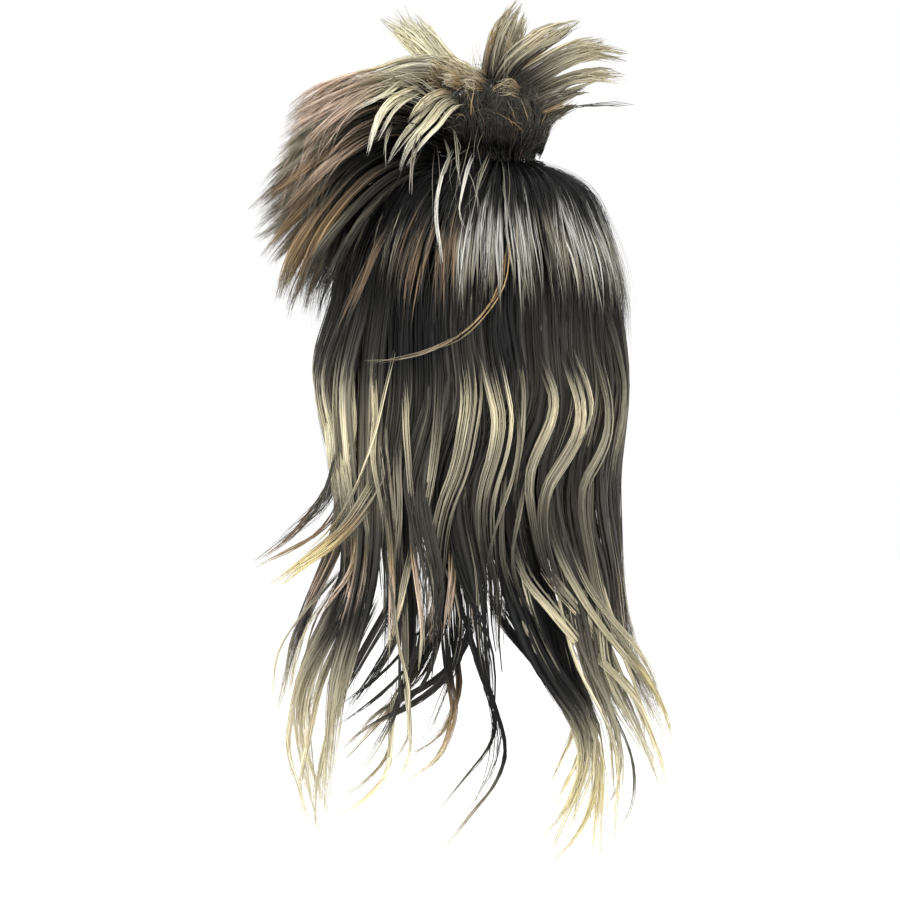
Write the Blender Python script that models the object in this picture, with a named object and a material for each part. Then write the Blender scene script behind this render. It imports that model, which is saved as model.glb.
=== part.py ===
# Long spiky wig: a wig cap, a layer of short hair over its crown, long hair
# hanging from its lower half, a tuft of spikes on top and a fringe in front.
# Metres, +Z up. The origin is the crown of the hollow that the head fills.
# The face looks along -X, and -Y is the near side in the front elevation.
# Hair is modelled as the closed outer form of each section and its locks.

from bisect import bisect_right
from math import acos, cos, pi, radians, sin, sqrt

import bmesh
import bpy
from mathutils import Matrix, Vector
from mathutils.bvhtree import BVHTree

# Driving sizes of the head and cap
HEAD_HALF_DEPTH = 0.097
HEAD_HALF_WIDTH = 0.077
DOME_HEIGHT = 0.105
CAP_WALL = 0.002
FOREHEAD_DROP = 0.070
TEMPLE_DROP = 0.082
EAR_TAB_DROP = 0.116
EAR_ARCH_DROP = 0.100
BEHIND_EAR_DROP = 0.130
NAPE_DROP = 0.148

# Driving sizes of the hair
TOUCH_GAP = 0.0003
SEAT_GAP = 0.0008
LONG_SEAT_GAP = 0.0015
CROWN_HAIR = 0.011
LONG_HAIR = 0.0065
LONG_HAIR_TIP = 0.0016
OVERLAY_EDGE = 0.0016
FRONT_LIFT = 0.006
RIDGE = 0.0014
HAIR_LENGTH = 0.483
LONG_ROOT_DROP = 0.058
OVERLAY_DROP = 0.089
FACE_EDGE_DROP = 0.066
EDGE_POINT = 0.010
LEAVE_DROP = 0.003
PART_LINE = 0.0012

# Driving sizes of the tuft and fringe
TUFT_HEIGHT = 0.126
KNOT_OFFSET = 0.014
KNOT_RADIUS = 0.044
KNOT_HEIGHT = 0.066
SPIKE_WIDTH = 0.030
SPIKE_FLATNESS = 0.80
FLICK_WIDTH = 0.014
FLICK_FLATNESS = 0.45
FRINGE_REACH = 0.153
FRINGE_HAIR = 0.006
FRINGE_TIP = 0.0015

CAP_COLUMNS = 30
OVERLAY_POINTS = 21
COLUMNS_PER_POINT = 4
KNOT_COLUMNS = 24
SPIKE_ROWS = 5

# The cap's edge, by angle from the face towards each ear and the nape
CAP_EDGE = (
    # angle, drop
    (0, FOREHEAD_DROP),
    (48, TEMPLE_DROP),
    (72, EAR_TAB_DROP),
    (98, EAR_ARCH_DROP),
    (130, BEHIND_EAR_DROP),
    (180, NAPE_DROP),
)

# Locks of the long hair on the near side, from the face round to the nape.
# rim, mid, low and tip are places along X, as shares of HEAD_HALF_DEPTH: rim
# just below the cap, the others at 0.6, 0.8 and all of the lock's own drop.
# drop is a share of HAIR_LENGTH, depth the share of the side's width kept low
# down, body the width kept there, and split the row of JOINED_DROPS below
# which the lock hangs free of the next.
NEAR_LOCKS = (
    # angle, rim, mid, low, tip, drop, depth, body, split
    (23, -1.10, -1.06, -0.98, -1.58, 0.556, 0.85, 0.70, 4),
    (32, -1.06, -0.90, -1.22, -1.42, 0.800, 0.85, 0.80, 7),
    (42, -0.91, -0.86, -1.20, -1.06, 0.944, 1.00, 1.90, 8),
    (52, -0.71, -0.74, -0.94, -1.02, 0.907, 1.12, 1.40, 9),
    (61, -0.54, -0.60, -0.57, -0.60, 0.720, 1.00, 1.40, 9),
    (69, -0.39, -0.47, -0.46, -0.98, 0.896, 0.82, 0.60, 9),
    (77, -0.25, -0.36, -0.30, -0.28, 0.735, 1.12, 1.10, 9),
    (85, -0.10, -0.20, -0.10, -0.48, 0.855, 0.94, 0.60, 9),
    (94, 0.07, -0.05, 0.18, -0.26, 0.958, 1.16, 0.50, 9),
    (103, 0.23, 0.11, 0.14, 0.22, 0.710, 0.88, 0.90, 9),
    (112, 0.38, 0.23, 0.76, 0.51, 0.968, 1.12, 1.30, 9),
    (121, 0.53, 0.40, 0.82, 0.90, 0.968, 0.88, 1.30, 9),
    (131, 0.68, 0.60, 0.95, 1.00, 0.951, 1.15, 1.00, 9),
    (142, 0.84, 0.80, 1.00, 1.38, 0.898, 1.05, 1.10, 8),
    (155, 1.01, 0.96, 1.08, 1.42, 0.826, 0.95, 0.80, 8),
    (170, 1.10, 1.04, 1.08, 1.30, 0.750, 1.08, 0.60, 8),
)
FAR_LOCKS = (
    # angle, rim, mid, low, tip, drop, depth, body, split
    (23, -1.09, -1.04, -0.96, -1.44, 0.530, 0.85, 0.70, 4),
    (32, -1.05, -0.91, -1.20, -1.40, 0.790, 0.85, 0.80, 7),
    (42, -0.91, -0.88, -1.22, -1.17, 0.930, 1.00, 1.80, 8),
    (52, -0.71, -0.77, -0.98, -1.05, 0.885, 1.12, 1.30, 9),
    (61, -0.54, -0.62, -0.60, -0.63, 0.720, 1.00, 1.30, 9),
    (69, -0.39, -0.50, -0.52, -1.02, 0.812, 0.78, 0.50, 9),
    (77, -0.25, -0.39, -0.35, -0.34, 0.730, 1.12, 1.00, 9),
    (85, -0.10, -0.18, -0.30, -1.00, 0.865, 0.92, 0.50, 9),
    (94, 0.07, -0.04, 0.02, 0.06, 0.720, 1.12, 1.00, 9),
    (103, 0.23, 0.12, 0.15, 0.22, 0.710, 0.90, 0.90, 9),
    (112, 0.38, 0.25, 0.74, 0.86, 0.915, 1.12, 1.20, 9),
    (121, 0.53, 0.42, 0.84, 0.90, 0.965, 0.86, 1.20, 9),
    (131, 0.68, 0.64, 0.98, 1.06, 0.915, 1.15, 1.00, 9),
    (142, 0.84, 0.82, 1.06, 1.40, 0.900, 1.05, 1.00, 8),
    (155, 1.01, 0.98, 1.11, 1.42, 0.828, 0.95, 0.80, 8),
    (170, 1.10, 1.05, 1.08, 1.30, 0.755, 1.08, 0.60, 8),
)
# Levels of the rows that neighbouring locks share, as shares of HAIR_LENGTH
JOINED_DROPS = (0.165, 0.198, 0.235, 0.29, 0.36, 0.43, 0.50, 0.56, 0.615)
RIM_LEVEL = 0.28
FREE_ROWS = 5

# Short flicked locks that lie on the long hair beside the face, each over the
# lock at this angle. root, mid and tip are places along X as shares of
# HEAD_HALF_DEPTH with their drops as shares of HAIR_LENGTH.
FLICKS = (
    # name, angle, root, root_drop, mid, mid_drop, tip, tip_drop
    ("cheek_flick", 42, -0.96, 0.482, -1.15, 0.520, -1.53, 0.560),
    ("jaw_flick", 52, -0.76, 0.462, -1.05, 0.526, -1.42, 0.588),
)

# The short hair's thickness over the head, by angle down from the crown
CROWN_SWELL = (
    # angle, thickness as a share of CROWN_HAIR
    (0, 1.00),
    (17, 1.30),
    (30, 1.85),
    (41, 2.15),
    (52, 1.85),
    (64, 1.40),
    (80, 1.22),
    (100, 1.18),
)

# The knot's outline above the short hair: height and radius as shares
KNOT_PROFILE = (
    # height, radius
    (0.04, 0.80),
    (0.22, 0.88),
    (0.42, 0.96),
    (0.62, 1.00),
    (0.80, 0.92),
    (0.93, 0.72),
    (1.00, 0.40),
)

# Spikes of the tuft, each grown out of two by two faces of the knot. column
# and row say which, bend and tip hold a distance out from the knot's axis as a
# share of FRINGE_REACH and a height as a share of TUFT_HEIGHT, turned from the
# face as the angles say. body is a share of SPIKE_WIDTH. The last one hangs
# over the near side.
SPIKES = (
    # column, row, bend_turn, bend_out, bend_up, tip_turn, tip_out, tip_up, body
    (0, 6, 8, 0.31, 0.72, 12, 0.47, 0.93, 1.30),
    (12, 6, 190, 0.06, 0.80, 180, 0.13, 1.02, 0.90),
    (9, 5, 150, 0.28, 0.78, 160, 0.43, 0.88, 0.90),
    (11, 3, 176, 0.43, 0.66, 172, 0.61, 0.70, 1.05),
    (13, 3, 206, 0.43, 0.52, 200, 0.65, 0.57, 0.85),
    (9, 2, 154, 0.37, 0.42, 150, 0.53, 0.47, 0.60),
    (15, 5, 240, 0.32, 0.70, 240, 0.46, 0.80, 0.85),
    (16, 3, 244, 0.44, 0.42, 238, 0.58, 0.34, 0.80),
    (5, 5, 54, 0.42, 0.30, 41, 0.60, 0.01, 0.70),
)

# Layers of the fringe, swept forward off the knot and fanned by spread, in
# degrees. hair is a share of FRINGE_HAIR, out a share of FRINGE_REACH and up a
# share of TUFT_HEIGHT.
FRINGE_LAYERS = (
    # name, spread, hair, root_up, arch_out, arch_up, fall_out, fall_up, tip_out, tip_up
    ("fringe_upper", 17, 1.1, 0.36, 0.60, 0.52, 0.86, 0.42, 0.98, 0.20),
    ("fringe_middle", 16, 1.2, 0.28, 0.66, 0.33, 0.94, 0.10, 1.09, -0.34),
    ("fringe_lower", 15, 1.8, 0.13, 0.64, 0.13, 0.93, -0.14, 1.00, -0.64),
)
FRINGE_LOCKS = (
    # place, reach, fall, body
    (-2, 0.96, 0.95, 0.90),
    (-1, 0.98, 1.12, 1.00),
    (0, 1.00, 0.94, 1.05),
    (1, 1.00, 1.06, 1.00),
    (2, 0.98, 0.90, 0.90),
)
FRINGE_ROWS = 7


def clear_scene():
    for obj in list(bpy.data.objects):
        bpy.data.objects.remove(obj)


def material(name, colour, roughness):
    made = bpy.data.materials.new(name)
    made.use_nodes = True
    shader = made.node_tree.nodes["Principled BSDF"]
    shader.inputs["Base Color"].default_value = (*colour, 1)
    shader.inputs["Roughness"].default_value = roughness
    shader.inputs["Metallic"].default_value = 0
    return made


def add_object(name, bm, look):
    mesh = bpy.data.meshes.new(name)
    bmesh.ops.recalc_face_normals(bm, faces=bm.faces)
    bm.to_mesh(mesh)
    bm.free()
    mesh.materials.append(look)
    mesh.shade_smooth()
    obj = bpy.data.objects.new(name, mesh)
    bpy.context.collection.objects.link(obj)
    return obj


def measured(obj):
    """An object's finished surface: a search tree, and points spread over it."""
    shape = obj.evaluated_get(bpy.context.evaluated_depsgraph_get()).to_mesh()
    points = [vertex.co.copy() for vertex in shape.vertices]
    faces = [tuple(face.vertices) for face in shape.polygons]
    spots = [face.center.copy() for face in shape.polygons]
    spots += [(points[edge.vertices[0]] + points[edge.vertices[1]]) / 2 for edge in shape.edges]
    return BVHTree.FromPolygons(points, faces), points + spots


def settle(obj, onto, direction):
    """Moves a piece along a direction until only TOUCH_GAP is left to another."""
    rest_tree, rest_points = measured(onto)
    tree, points = measured(obj)
    moved = 0
    for _ in range(60):
        shift = direction * moved
        near = min(rest_tree.find_nearest(point + shift)[3] for point in points)
        near = min(near, min(tree.find_nearest(point - shift)[3] for point in rest_points))
        if near < TOUCH_GAP + 0.00002:
            break
        moved += near - TOUCH_GAP
    obj.data.transform(Matrix.Translation(direction * moved))


def curve_through(knots, values, at):
    """Smooth value at a place between knots, which rise from first to last."""
    last = len(knots) - 1
    i = min(max(bisect_right(knots, at) - 1, 0), last - 1)

    def slope(k):
        before, after = max(k - 1, 0), min(k + 1, last)
        return (values[after] - values[before]) / (knots[after] - knots[before])

    span = knots[i + 1] - knots[i]
    t = min(max((at - knots[i]) / span, 0), 1)
    rise = t * t * (3 - 2 * t)
    lead = t * (1 - t) ** 2 * span * slope(i)
    trail = t * t * (t - 1) * span * slope(i + 1)
    return values[i] + (values[i + 1] - values[i]) * rise + lead + trail


def smooth_path(guides, count):
    """count points along one smooth curve through the guide points."""
    spans = [(b - a).length for a, b in zip(guides, guides[1:])]
    knots = [sum(spans[:k]) for k in range(len(guides))]
    path = []
    for k in range(count):
        at = knots[-1] * k / (count - 1)
        path.append(Vector(curve_through(knots, [g[j] for g in guides], at) for j in range(3)))
    return path


def polar_at(drop):
    """Angle down from the crown, in radians, at which the head has this drop."""
    return acos(1 - drop / DOME_HEIGHT)


def dome_point(angle, polar, offset):
    """A point this far outside the head's dome."""
    turn = radians(angle)
    return Vector(
        (
            -(HEAD_HALF_DEPTH + offset) * sin(polar) * cos(turn),
            -(HEAD_HALF_WIDTH + offset) * sin(polar) * sin(turn),
            -DOME_HEIGHT + (DOME_HEIGHT + offset) * cos(polar),
        )
    )


def from_face(angle):
    """The same angle measured from the face round either side, 0 to 180."""
    turned = angle % 360
    return min(turned, 360 - turned)


def cap_edge_drop(angle):
    return curve_through([row[0] for row in CAP_EDGE], [row[1] for row in CAP_EDGE], from_face(angle))


def domed_shell(name, angles, rows, point, look):
    """A closed shell, open below. point(angle, row, side) gives each vertex.
    Row 0 is the crown."""
    bm = bmesh.new()
    rings = {}
    for side in ("outer", "inner"):
        crown = bm.verts.new(point(0, 0, side))
        rings[side] = [[crown] * len(angles)]
        for row in range(1, rows + 1):
            rings[side].append([bm.verts.new(point(angle, row, side)) for angle in angles])
    for k in range(len(angles)):
        after = (k + 1) % len(angles)
        for ring in rings.values():
            bm.faces.new((ring[0][k], ring[1][k], ring[1][after]))
            for row in range(1, rows):
                bm.faces.new((ring[row][k], ring[row + 1][k], ring[row + 1][after], ring[row][after]))
        outer, inner = rings["outer"][rows], rings["inner"][rows]
        bm.faces.new((outer[k], inner[k], inner[after], outer[after]))
    return add_object(name, bm, look)


def make_cap(look):
    rows = 8
    angles = [360 * k / CAP_COLUMNS for k in range(CAP_COLUMNS)]

    def point(angle, row, side):
        polar = polar_at(cap_edge_drop(angle)) * row / rows
        return dome_point(angle, polar, CAP_WALL if side == "outer" else 0)

    return domed_shell("cap", angles, rows, point, look)


def overlay_edge(angle, column):
    """Drop of the short hair's edge: short over the face, in points all round."""
    drop = FACE_EDGE_DROP + (OVERLAY_DROP - FACE_EDGE_DROP) * smooth_share(20, 50, from_face(angle))
    phase = column % COLUMNS_PER_POINT
    point = (0, 0.5, 1, 0.5)[phase]
    uneven = 0.75 + 0.25 * cos(3 * column)
    return drop + EDGE_POINT * (point * uneven - 0.5) * smooth_share(25, 50, from_face(angle))


def smooth_share(low, high, at):
    t = min(max((at - low) / (high - low), 0), 1)
    return t * t * (3 - 2 * t)


def long_hair_inner():
    return CAP_WALL + LONG_SEAT_GAP


def long_hair_outer():
    return long_hair_inner() + LONG_HAIR


def crown_swell(polar):
    """Thickness of the short hair at an angle down from the crown, in radians."""
    share = curve_through([radians(r[0]) for r in CROWN_SWELL], [r[1] for r in CROWN_SWELL], polar)
    return CROWN_HAIR * share


def make_short_hair(look):
    """The short hair: on the cap over the crown, then over the roots of the long hair."""
    columns = OVERLAY_POINTS * COLUMNS_PER_POINT
    angles = [360 * k / columns for k in range(columns)]
    step_out = polar_at(LONG_ROOT_DROP) - 0.05
    levels = (0, 0.26, 0.52, 0.76, step_out - 0.13, step_out)
    rows = len(levels) + 1

    def point(angle, row, side):
        column = round(angle * columns / 360)
        edge = polar_at(overlay_edge(angle, column))
        if row < len(levels):
            polar = levels[row]
        else:
            polar = edge if row == rows else (levels[-1] + edge) / 2
        inner = long_hair_inner()
        if row >= len(levels) - 1:
            inner = long_hair_outer() + LONG_SEAT_GAP
        if side == "inner":
            return dome_point(angle, polar, inner)
        ridge = RIDGE * smooth_share(0.2, 1.0, polar) * cos(2 * pi * column / COLUMNS_PER_POINT)
        facing = 1 - smooth_share(20, 75, from_face(angle))
        front = FRONT_LIFT * facing * smooth_share(0.5, 0.95, polar)
        outer = inner + OVERLAY_EDGE if row == rows else crown_swell(polar) + ridge + front
        return dome_point(angle, polar, outer)

    return domed_shell("short_hair", angles, rows, point, look)


def lock_centre(row, drop, side):
    """A long lock's centre at a drop below the crown. side is -1 near, 1 far."""
    angle, rim, mid, low, tip, length, depth = row[:7]
    offset = long_hair_inner()
    turn = radians(angle)
    leave = overlay_edge(angle, 2) + LEAVE_DROP
    if drop <= leave:
        point = dome_point(angle, polar_at(drop), offset)
        return Vector((point.x, side * abs(point.y), -drop))
    foot = dome_point(angle, polar_at(leave), offset)
    above = dome_point(angle, polar_at(leave - LEAVE_DROP), offset)
    width = (HEAD_HALF_WIDTH + offset) * sin(turn)
    end = length * HAIR_LENGTH
    knots = [leave - LEAVE_DROP, leave, RIM_LEVEL * HAIR_LENGTH, 0.6 * end, 0.8 * end, end]
    places = [above.x, foot.x, *(share * HEAD_HALF_DEPTH for share in (rim, mid, low, tip))]
    halfway = width * (1 + depth) / 2
    depths = [abs(above.y), abs(foot.y), width, halfway, width * depth, width * depth]
    x = curve_through(knots, places, drop)
    return Vector((x, side * curve_through(knots, depths, drop), -drop))


def lock_drops(row):
    """The levels of a lock's rows: shared with its neighbours, then its own."""
    end = row[5] * HAIR_LENGTH
    shared = [share * HAIR_LENGTH for share in JOINED_DROPS[: row[8]]]
    free = FREE_ROWS + len(JOINED_DROPS) - row[8]
    levels = [LONG_ROOT_DROP, *shared]
    step = (end - levels[-1]) / free
    return levels + [levels[-1] + step * (k + 1) for k in range(free)]


def half_widths(rows, k):
    """A lock's widths before and after its centre line, halfway to its neighbours.
    The third value is the radius that its width bows to."""
    angle = rows[k][0]
    before = rows[k - 1][0] if k else 2 * angle - rows[1][0]
    after = rows[k + 1][0] if k + 1 < len(rows) else 360 - angle
    half_depth = HEAD_HALF_DEPTH + long_hair_inner()
    half_width = HEAD_HALF_WIDTH + long_hair_inner()
    speed = sqrt((half_depth * sin(radians(angle))) ** 2 + (half_width * cos(radians(angle))) ** 2)
    left, right = ((radians(span) * speed - PART_LINE) / 2 for span in (angle - before, after - angle))
    return left, right, speed**3 / half_depth / half_width


def comb_sheet(name, columns, joined, thickness, tip_share, look):
    """A sheet of locks, joined side by side in their first rows and free below.
    columns holds each lock's rows of (left, centre, right, fullness)."""
    bm = bmesh.new()
    grids = [[[bm.verts.new(p) for p in row[:3]] for row in lock] for lock in columns]
    fullness = [row[3] for lock in columns for row in lock for _ in range(3)]
    for grid in grids:
        for above, below in zip(grid, grid[1:]):
            for k in range(2):
                bm.faces.new((above[k], below[k], below[k + 1], above[k + 1]))
    for left, right, rows in zip(grids, grids[1:], joined):
        for row in range(rows):
            bm.faces.new((left[row][2], left[row + 1][2], right[row + 1][0], right[row][0]))
    obj = add_object(name, bm, look)
    group = obj.vertex_groups.new(name="fullness")
    for k, share in enumerate(fullness):
        group.add([k], share, "REPLACE")
    wall = obj.modifiers.new("hair", "SOLIDIFY")
    wall.thickness = thickness
    wall.offset = 1
    wall.vertex_group = group.name
    wall.thickness_vertex_group = tip_share
    wall.use_rim = True
    return obj


def outward_of(obj, away_from):
    """Turns a sheet's faces away from an axis through a point, so that it thickens outwards."""
    mesh = obj.data
    facing = sum((face.center - away_from).dot(face.normal) * face.area for face in mesh.polygons)
    if facing < 0:
        mesh.flip_normals()


def make_long_hair(name, rows, side, look):
    columns = []
    for k, row in enumerate(rows):
        turn = radians(row[0])
        drops = lock_drops(row)
        before, after, bow = half_widths(rows, k)
        split_drop = JOINED_DROPS[row[8] - 1] * HAIR_LENGTH
        end = drops[-1]
        lock = []
        for drop in drops:
            centre = lock_centre(row, drop, side)
            ahead = lock_centre(row, min(drop + 0.002, end), side)
            behind = lock_centre(row, max(drop - 0.002, LONG_ROOT_DROP), side)
            along = (ahead - behind).normalized()
            sideways = 0.85 * smooth_share(split_drop, split_drop + 0.2 * HAIR_LENGTH, drop)
            forward = -cos(turn) * HEAD_HALF_WIDTH / HEAD_HALF_DEPTH
            facing = Vector((forward * (1 - sideways), side * (sin(turn) + sideways), 0)).normalized()
            across = facing.cross(along).normalized() * -side
            ring = sin(polar_at(min(drop, DOME_HEIGHT)))
            free = smooth_share(split_drop, split_drop + 0.15 * HAIR_LENGTH, drop)
            closing = smooth_share(0.74 * end, 1.03 * end, drop)
            keep = ring * (1 + (row[7] - 1) * free) * (1 - 0.9 * closing)
            left, right = (
                centre + across * width * keep - facing * (width * keep) ** 2 / (2 * bow)
                for width in (-before, after)
            )
            fullness = 1 - smooth_share(0.5 * end, end, drop)
            lock.append((left, centre, right, fullness))
        columns.append(lock)
    joined = [min(a[8], b[8]) for a, b in zip(rows, rows[1:])]
    obj = comb_sheet(name, columns, joined, LONG_HAIR, LONG_HAIR_TIP / LONG_HAIR, look)
    outward_of(obj, Vector((0, 0, -HAIR_LENGTH / 2)))
    return obj


def taper(share, root, full_at, closes_at, tip):
    """Fullness along a free lock: it swells from its root, then closes to its tip."""
    swelling = root + (1 - root) * smooth_share(0, full_at, share)
    return swelling * (1 - (1 - tip) * smooth_share(closes_at, 1.05, share))


def lens_lock(name, guides, width, flat_way, rows, look):
    """One free lock: a flattened, tapering tube along a smooth path."""
    path = smooth_path(guides, rows + 1)
    profile = (0, 60, 120, 180, 240, 300)
    bm = bmesh.new()
    rings = []
    for k, centre in enumerate(path):
        along = (path[min(k + 1, rows)] - path[max(k - 1, 0)]).normalized()
        across = along.cross(flat_way).normalized()
        up = across.cross(along)
        half = width / 2 * taper(k / rows, 0.72, 0.3, 0.45, 0.12)
        ring = []
        for turn in profile:
            place = across * cos(radians(turn)) + up * sin(radians(turn)) * FLICK_FLATNESS
            ring.append(bm.verts.new(centre + place * half))
        rings.append(ring)
    for above, below in zip(rings, rings[1:]):
        for k in range(len(profile)):
            after = (k + 1) % len(profile)
            bm.faces.new((above[k], above[after], below[after], below[k]))
    bm.faces.new(rings[0])
    bm.faces.new(reversed(rings[-1]))
    return add_object(name, bm, look)


def knot_seat(x, y):
    """Height at which the knot rests on the short hair."""
    low, high = 0, radians(60)
    for _ in range(24):
        polar = (low + high) / 2
        offset = crown_swell(polar)
        reach = sqrt((x / (HEAD_HALF_DEPTH + offset)) ** 2 + (y / (HEAD_HALF_WIDTH + offset)) ** 2)
        low, high = (polar, high) if sin(polar) < reach else (low, polar)
    return -DOME_HEIGHT + (DOME_HEIGHT + crown_swell(polar)) * cos(polar) + 2 * SEAT_GAP


def knot_radius(height):
    """The knot's radius at a height above the origin."""
    low = knot_seat(KNOT_OFFSET, 0)
    share = min(max((height - low) / (KNOT_HEIGHT - low), KNOT_PROFILE[0][0]), 1)
    return KNOT_RADIUS * curve_through([r[0] for r in KNOT_PROFILE], [r[1] for r in KNOT_PROFILE], share)


def knot_point(turn, out, height):
    """A point at a distance from the knot's upright axis."""
    return Vector((KNOT_OFFSET - out * cos(radians(turn)), -out * sin(radians(turn)), height))


def grow_spike(bm, rings, column, row, bend, tip, width):
    """Draws two by two faces of the knot out into a spike."""
    a, b, c = column % KNOT_COLUMNS, (column + 1) % KNOT_COLUMNS, (column + 2) % KNOT_COLUMNS
    low, middle, high = rings[row], rings[row + 1], rings[row + 2]
    outline = [low[a], low[b], low[c], middle[c], high[c], high[b], high[a], middle[a]]
    root = middle[b].co.copy()
    bmesh.ops.delete(bm, geom=[middle[b]], context="VERTS")
    path = smooth_path([root, bend, tip], SPIKE_ROWS + 1)
    up = (high[b].co - low[b].co).normalized()
    loop = outline
    for k in range(1, SPIKE_ROWS + 1):
        along = (path[min(k + 1, SPIKE_ROWS)] - path[k - 1]).normalized()
        across = up.cross(along).normalized()
        rise = along.cross(across)
        half = width / 2 * taper(k / SPIKE_ROWS, 0.7, 0.5, 0.5, 0.15)
        ring = []
        for n in range(8):
            turn = radians(225 + 45 * n)
            place = across * cos(turn) + rise * sin(turn) * SPIKE_FLATNESS
            ring.append(bm.verts.new(path[k] + place * half))
        for n in range(8):
            bm.faces.new((loop[n], loop[(n + 1) % 8], ring[(n + 1) % 8], ring[n]))
        loop = ring
    bm.faces.new(loop)


def make_tuft(look):
    bm = bmesh.new()
    low = knot_seat(KNOT_OFFSET, 0)
    turns = [360 * k / KNOT_COLUMNS for k in range(KNOT_COLUMNS)]
    rings = []
    for share in (0.30, 0.58):
        ring = []
        for turn in turns:
            point = knot_point(turn, share * KNOT_RADIUS, 0)
            point.z = knot_seat(point.x, point.y)
            ring.append(bm.verts.new(point))
        rings.append(ring)
    for height, radius in KNOT_PROFILE:
        level = low + height * (KNOT_HEIGHT - low)
        rings.append([bm.verts.new(knot_point(turn, radius * KNOT_RADIUS, level)) for turn in turns])
    bottom = bm.verts.new((KNOT_OFFSET, 0, knot_seat(KNOT_OFFSET, 0)))
    top = bm.verts.new((KNOT_OFFSET, 0, KNOT_HEIGHT + 0.06 * KNOT_RADIUS))
    for k in range(KNOT_COLUMNS):
        after = (k + 1) % KNOT_COLUMNS
        bm.faces.new((bottom, rings[0][after], rings[0][k]))
        bm.faces.new((top, rings[-1][k], rings[-1][after]))
        for above, below in zip(rings, rings[1:]):
            bm.faces.new((above[k], above[after], below[after], below[k]))
    for column, row, bend_turn, bend_out, bend_up, tip_turn, tip_out, tip_up, body in SPIKES:
        bend = knot_point(bend_turn, bend_out * FRINGE_REACH, bend_up * TUFT_HEIGHT)
        tip = knot_point(tip_turn, tip_out * FRINGE_REACH, tip_up * TUFT_HEIGHT)
        grow_spike(bm, rings, column, row, bend, tip, SPIKE_WIDTH * body)
    return add_object("crown_tuft", bm, look)


def make_fringe(tuft, look):
    for layer in FRINGE_LAYERS:
        name, spread, hair, root_up, arch_out, arch_up, fall_out, fall_up, tip_out, tip_up = layer
        thickness = hair * FRINGE_HAIR
        columns = []
        for place, reach, fall, body in FRINGE_LOCKS:
            turn = radians(place * spread)
            levels = [root_up * TUFT_HEIGHT + share * thickness for share in (0, 1)]
            root_out = max(knot_radius(level) for level in levels) + 0.25 * thickness + SEAT_GAP
            guides = [
                knot_point(place * spread, root_out, root_up * TUFT_HEIGHT),
                knot_point(place * spread, arch_out * FRINGE_REACH, arch_up * TUFT_HEIGHT),
                knot_point(place * spread, fall_out * FRINGE_REACH * reach, fall_up * TUFT_HEIGHT),
                knot_point(place * spread, tip_out * FRINGE_REACH * reach, tip_up * TUFT_HEIGHT * fall),
            ]
            path = smooth_path(guides, FRINGE_ROWS + 1)
            across = Vector((sin(turn), -cos(turn), 0))
            lock = []
            for k, centre in enumerate(path):
                share = k / FRINGE_ROWS
                out = (Vector((centre.x, centre.y)) - Vector((KNOT_OFFSET, 0))).length
                half = (radians(spread) * out - PART_LINE) / 2
                half *= 1 - (1 - 0.12 * body) * smooth_share(0.45, 1.0, share)
                lock.append((centre - across * half, centre, centre + across * half, 1 - share))
            columns.append(lock)
        joined = [3] * (len(columns) - 1)
        obj = comb_sheet(name, columns, joined, thickness, FRINGE_TIP / thickness, look)
        outward_of(obj, Vector((0, 0, -DOME_HEIGHT)))
        settle(obj, tuft, Vector((1, 0, 0)))


def make_flicks(rows, side, long_hair, look):
    for name, angle, root, root_drop, mid, mid_drop, tip, tip_drop in FLICKS:
        under = lock_centre(next(r for r in rows if r[0] >= angle), root_drop * HAIR_LENGTH, side)
        proud = under.y + side * (LONG_HAIR / sin(radians(angle)) + FLICK_WIDTH * FLICK_FLATNESS)
        guides = [
            Vector((root * HEAD_HALF_DEPTH, proud, -root_drop * HAIR_LENGTH)),
            Vector((mid * HEAD_HALF_DEPTH, proud, -mid_drop * HAIR_LENGTH)),
            Vector((tip * HEAD_HALF_DEPTH, proud, -tip_drop * HAIR_LENGTH)),
        ]
        side_name = "near" if side < 0 else "far"
        flick = lens_lock(f"{name}_{side_name}", guides, FLICK_WIDTH, Vector((0, 1, 0)), 6, look)
        settle(flick, long_hair, Vector((0, -side, 0)))


def main():
    clear_scene()
    cap_look = material("cap_net", (0.03, 0.028, 0.026), 0.8)
    dark = material("dark_hair", (0.035, 0.034, 0.03), 0.45)
    streaked = material("streaked_hair", (0.33, 0.30, 0.22), 0.45)
    make_cap(cap_look)
    short_hair = make_short_hair(dark)
    near = make_long_hair("long_hair_near", NEAR_LOCKS, -1, streaked)
    far = make_long_hair("long_hair_far", FAR_LOCKS, 1, streaked)
    tuft = make_tuft(streaked)
    settle(tuft, short_hair, Vector((0, 0, -1)))
    make_fringe(tuft, streaked)
    make_flicks(NEAR_LOCKS, -1, near, streaked)
    make_flicks(FAR_LOCKS, 1, far, streaked)


main()
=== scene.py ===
from math import acos, pi, radians
import bmesh
import bpy
import numpy as np
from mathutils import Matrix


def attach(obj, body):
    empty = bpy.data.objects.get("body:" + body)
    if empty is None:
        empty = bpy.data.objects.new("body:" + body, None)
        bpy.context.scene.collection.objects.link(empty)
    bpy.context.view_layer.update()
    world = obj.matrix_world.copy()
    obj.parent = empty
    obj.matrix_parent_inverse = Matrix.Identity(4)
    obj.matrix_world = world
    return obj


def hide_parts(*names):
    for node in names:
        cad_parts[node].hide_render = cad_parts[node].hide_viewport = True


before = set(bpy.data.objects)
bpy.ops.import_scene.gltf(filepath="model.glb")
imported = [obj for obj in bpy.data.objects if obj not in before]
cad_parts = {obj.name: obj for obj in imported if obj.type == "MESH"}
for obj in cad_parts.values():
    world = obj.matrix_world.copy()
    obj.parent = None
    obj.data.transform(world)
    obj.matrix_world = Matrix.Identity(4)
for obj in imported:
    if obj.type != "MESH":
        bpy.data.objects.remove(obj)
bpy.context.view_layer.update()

chance = np.random.default_rng(52)  # every draw below comes from here

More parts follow.
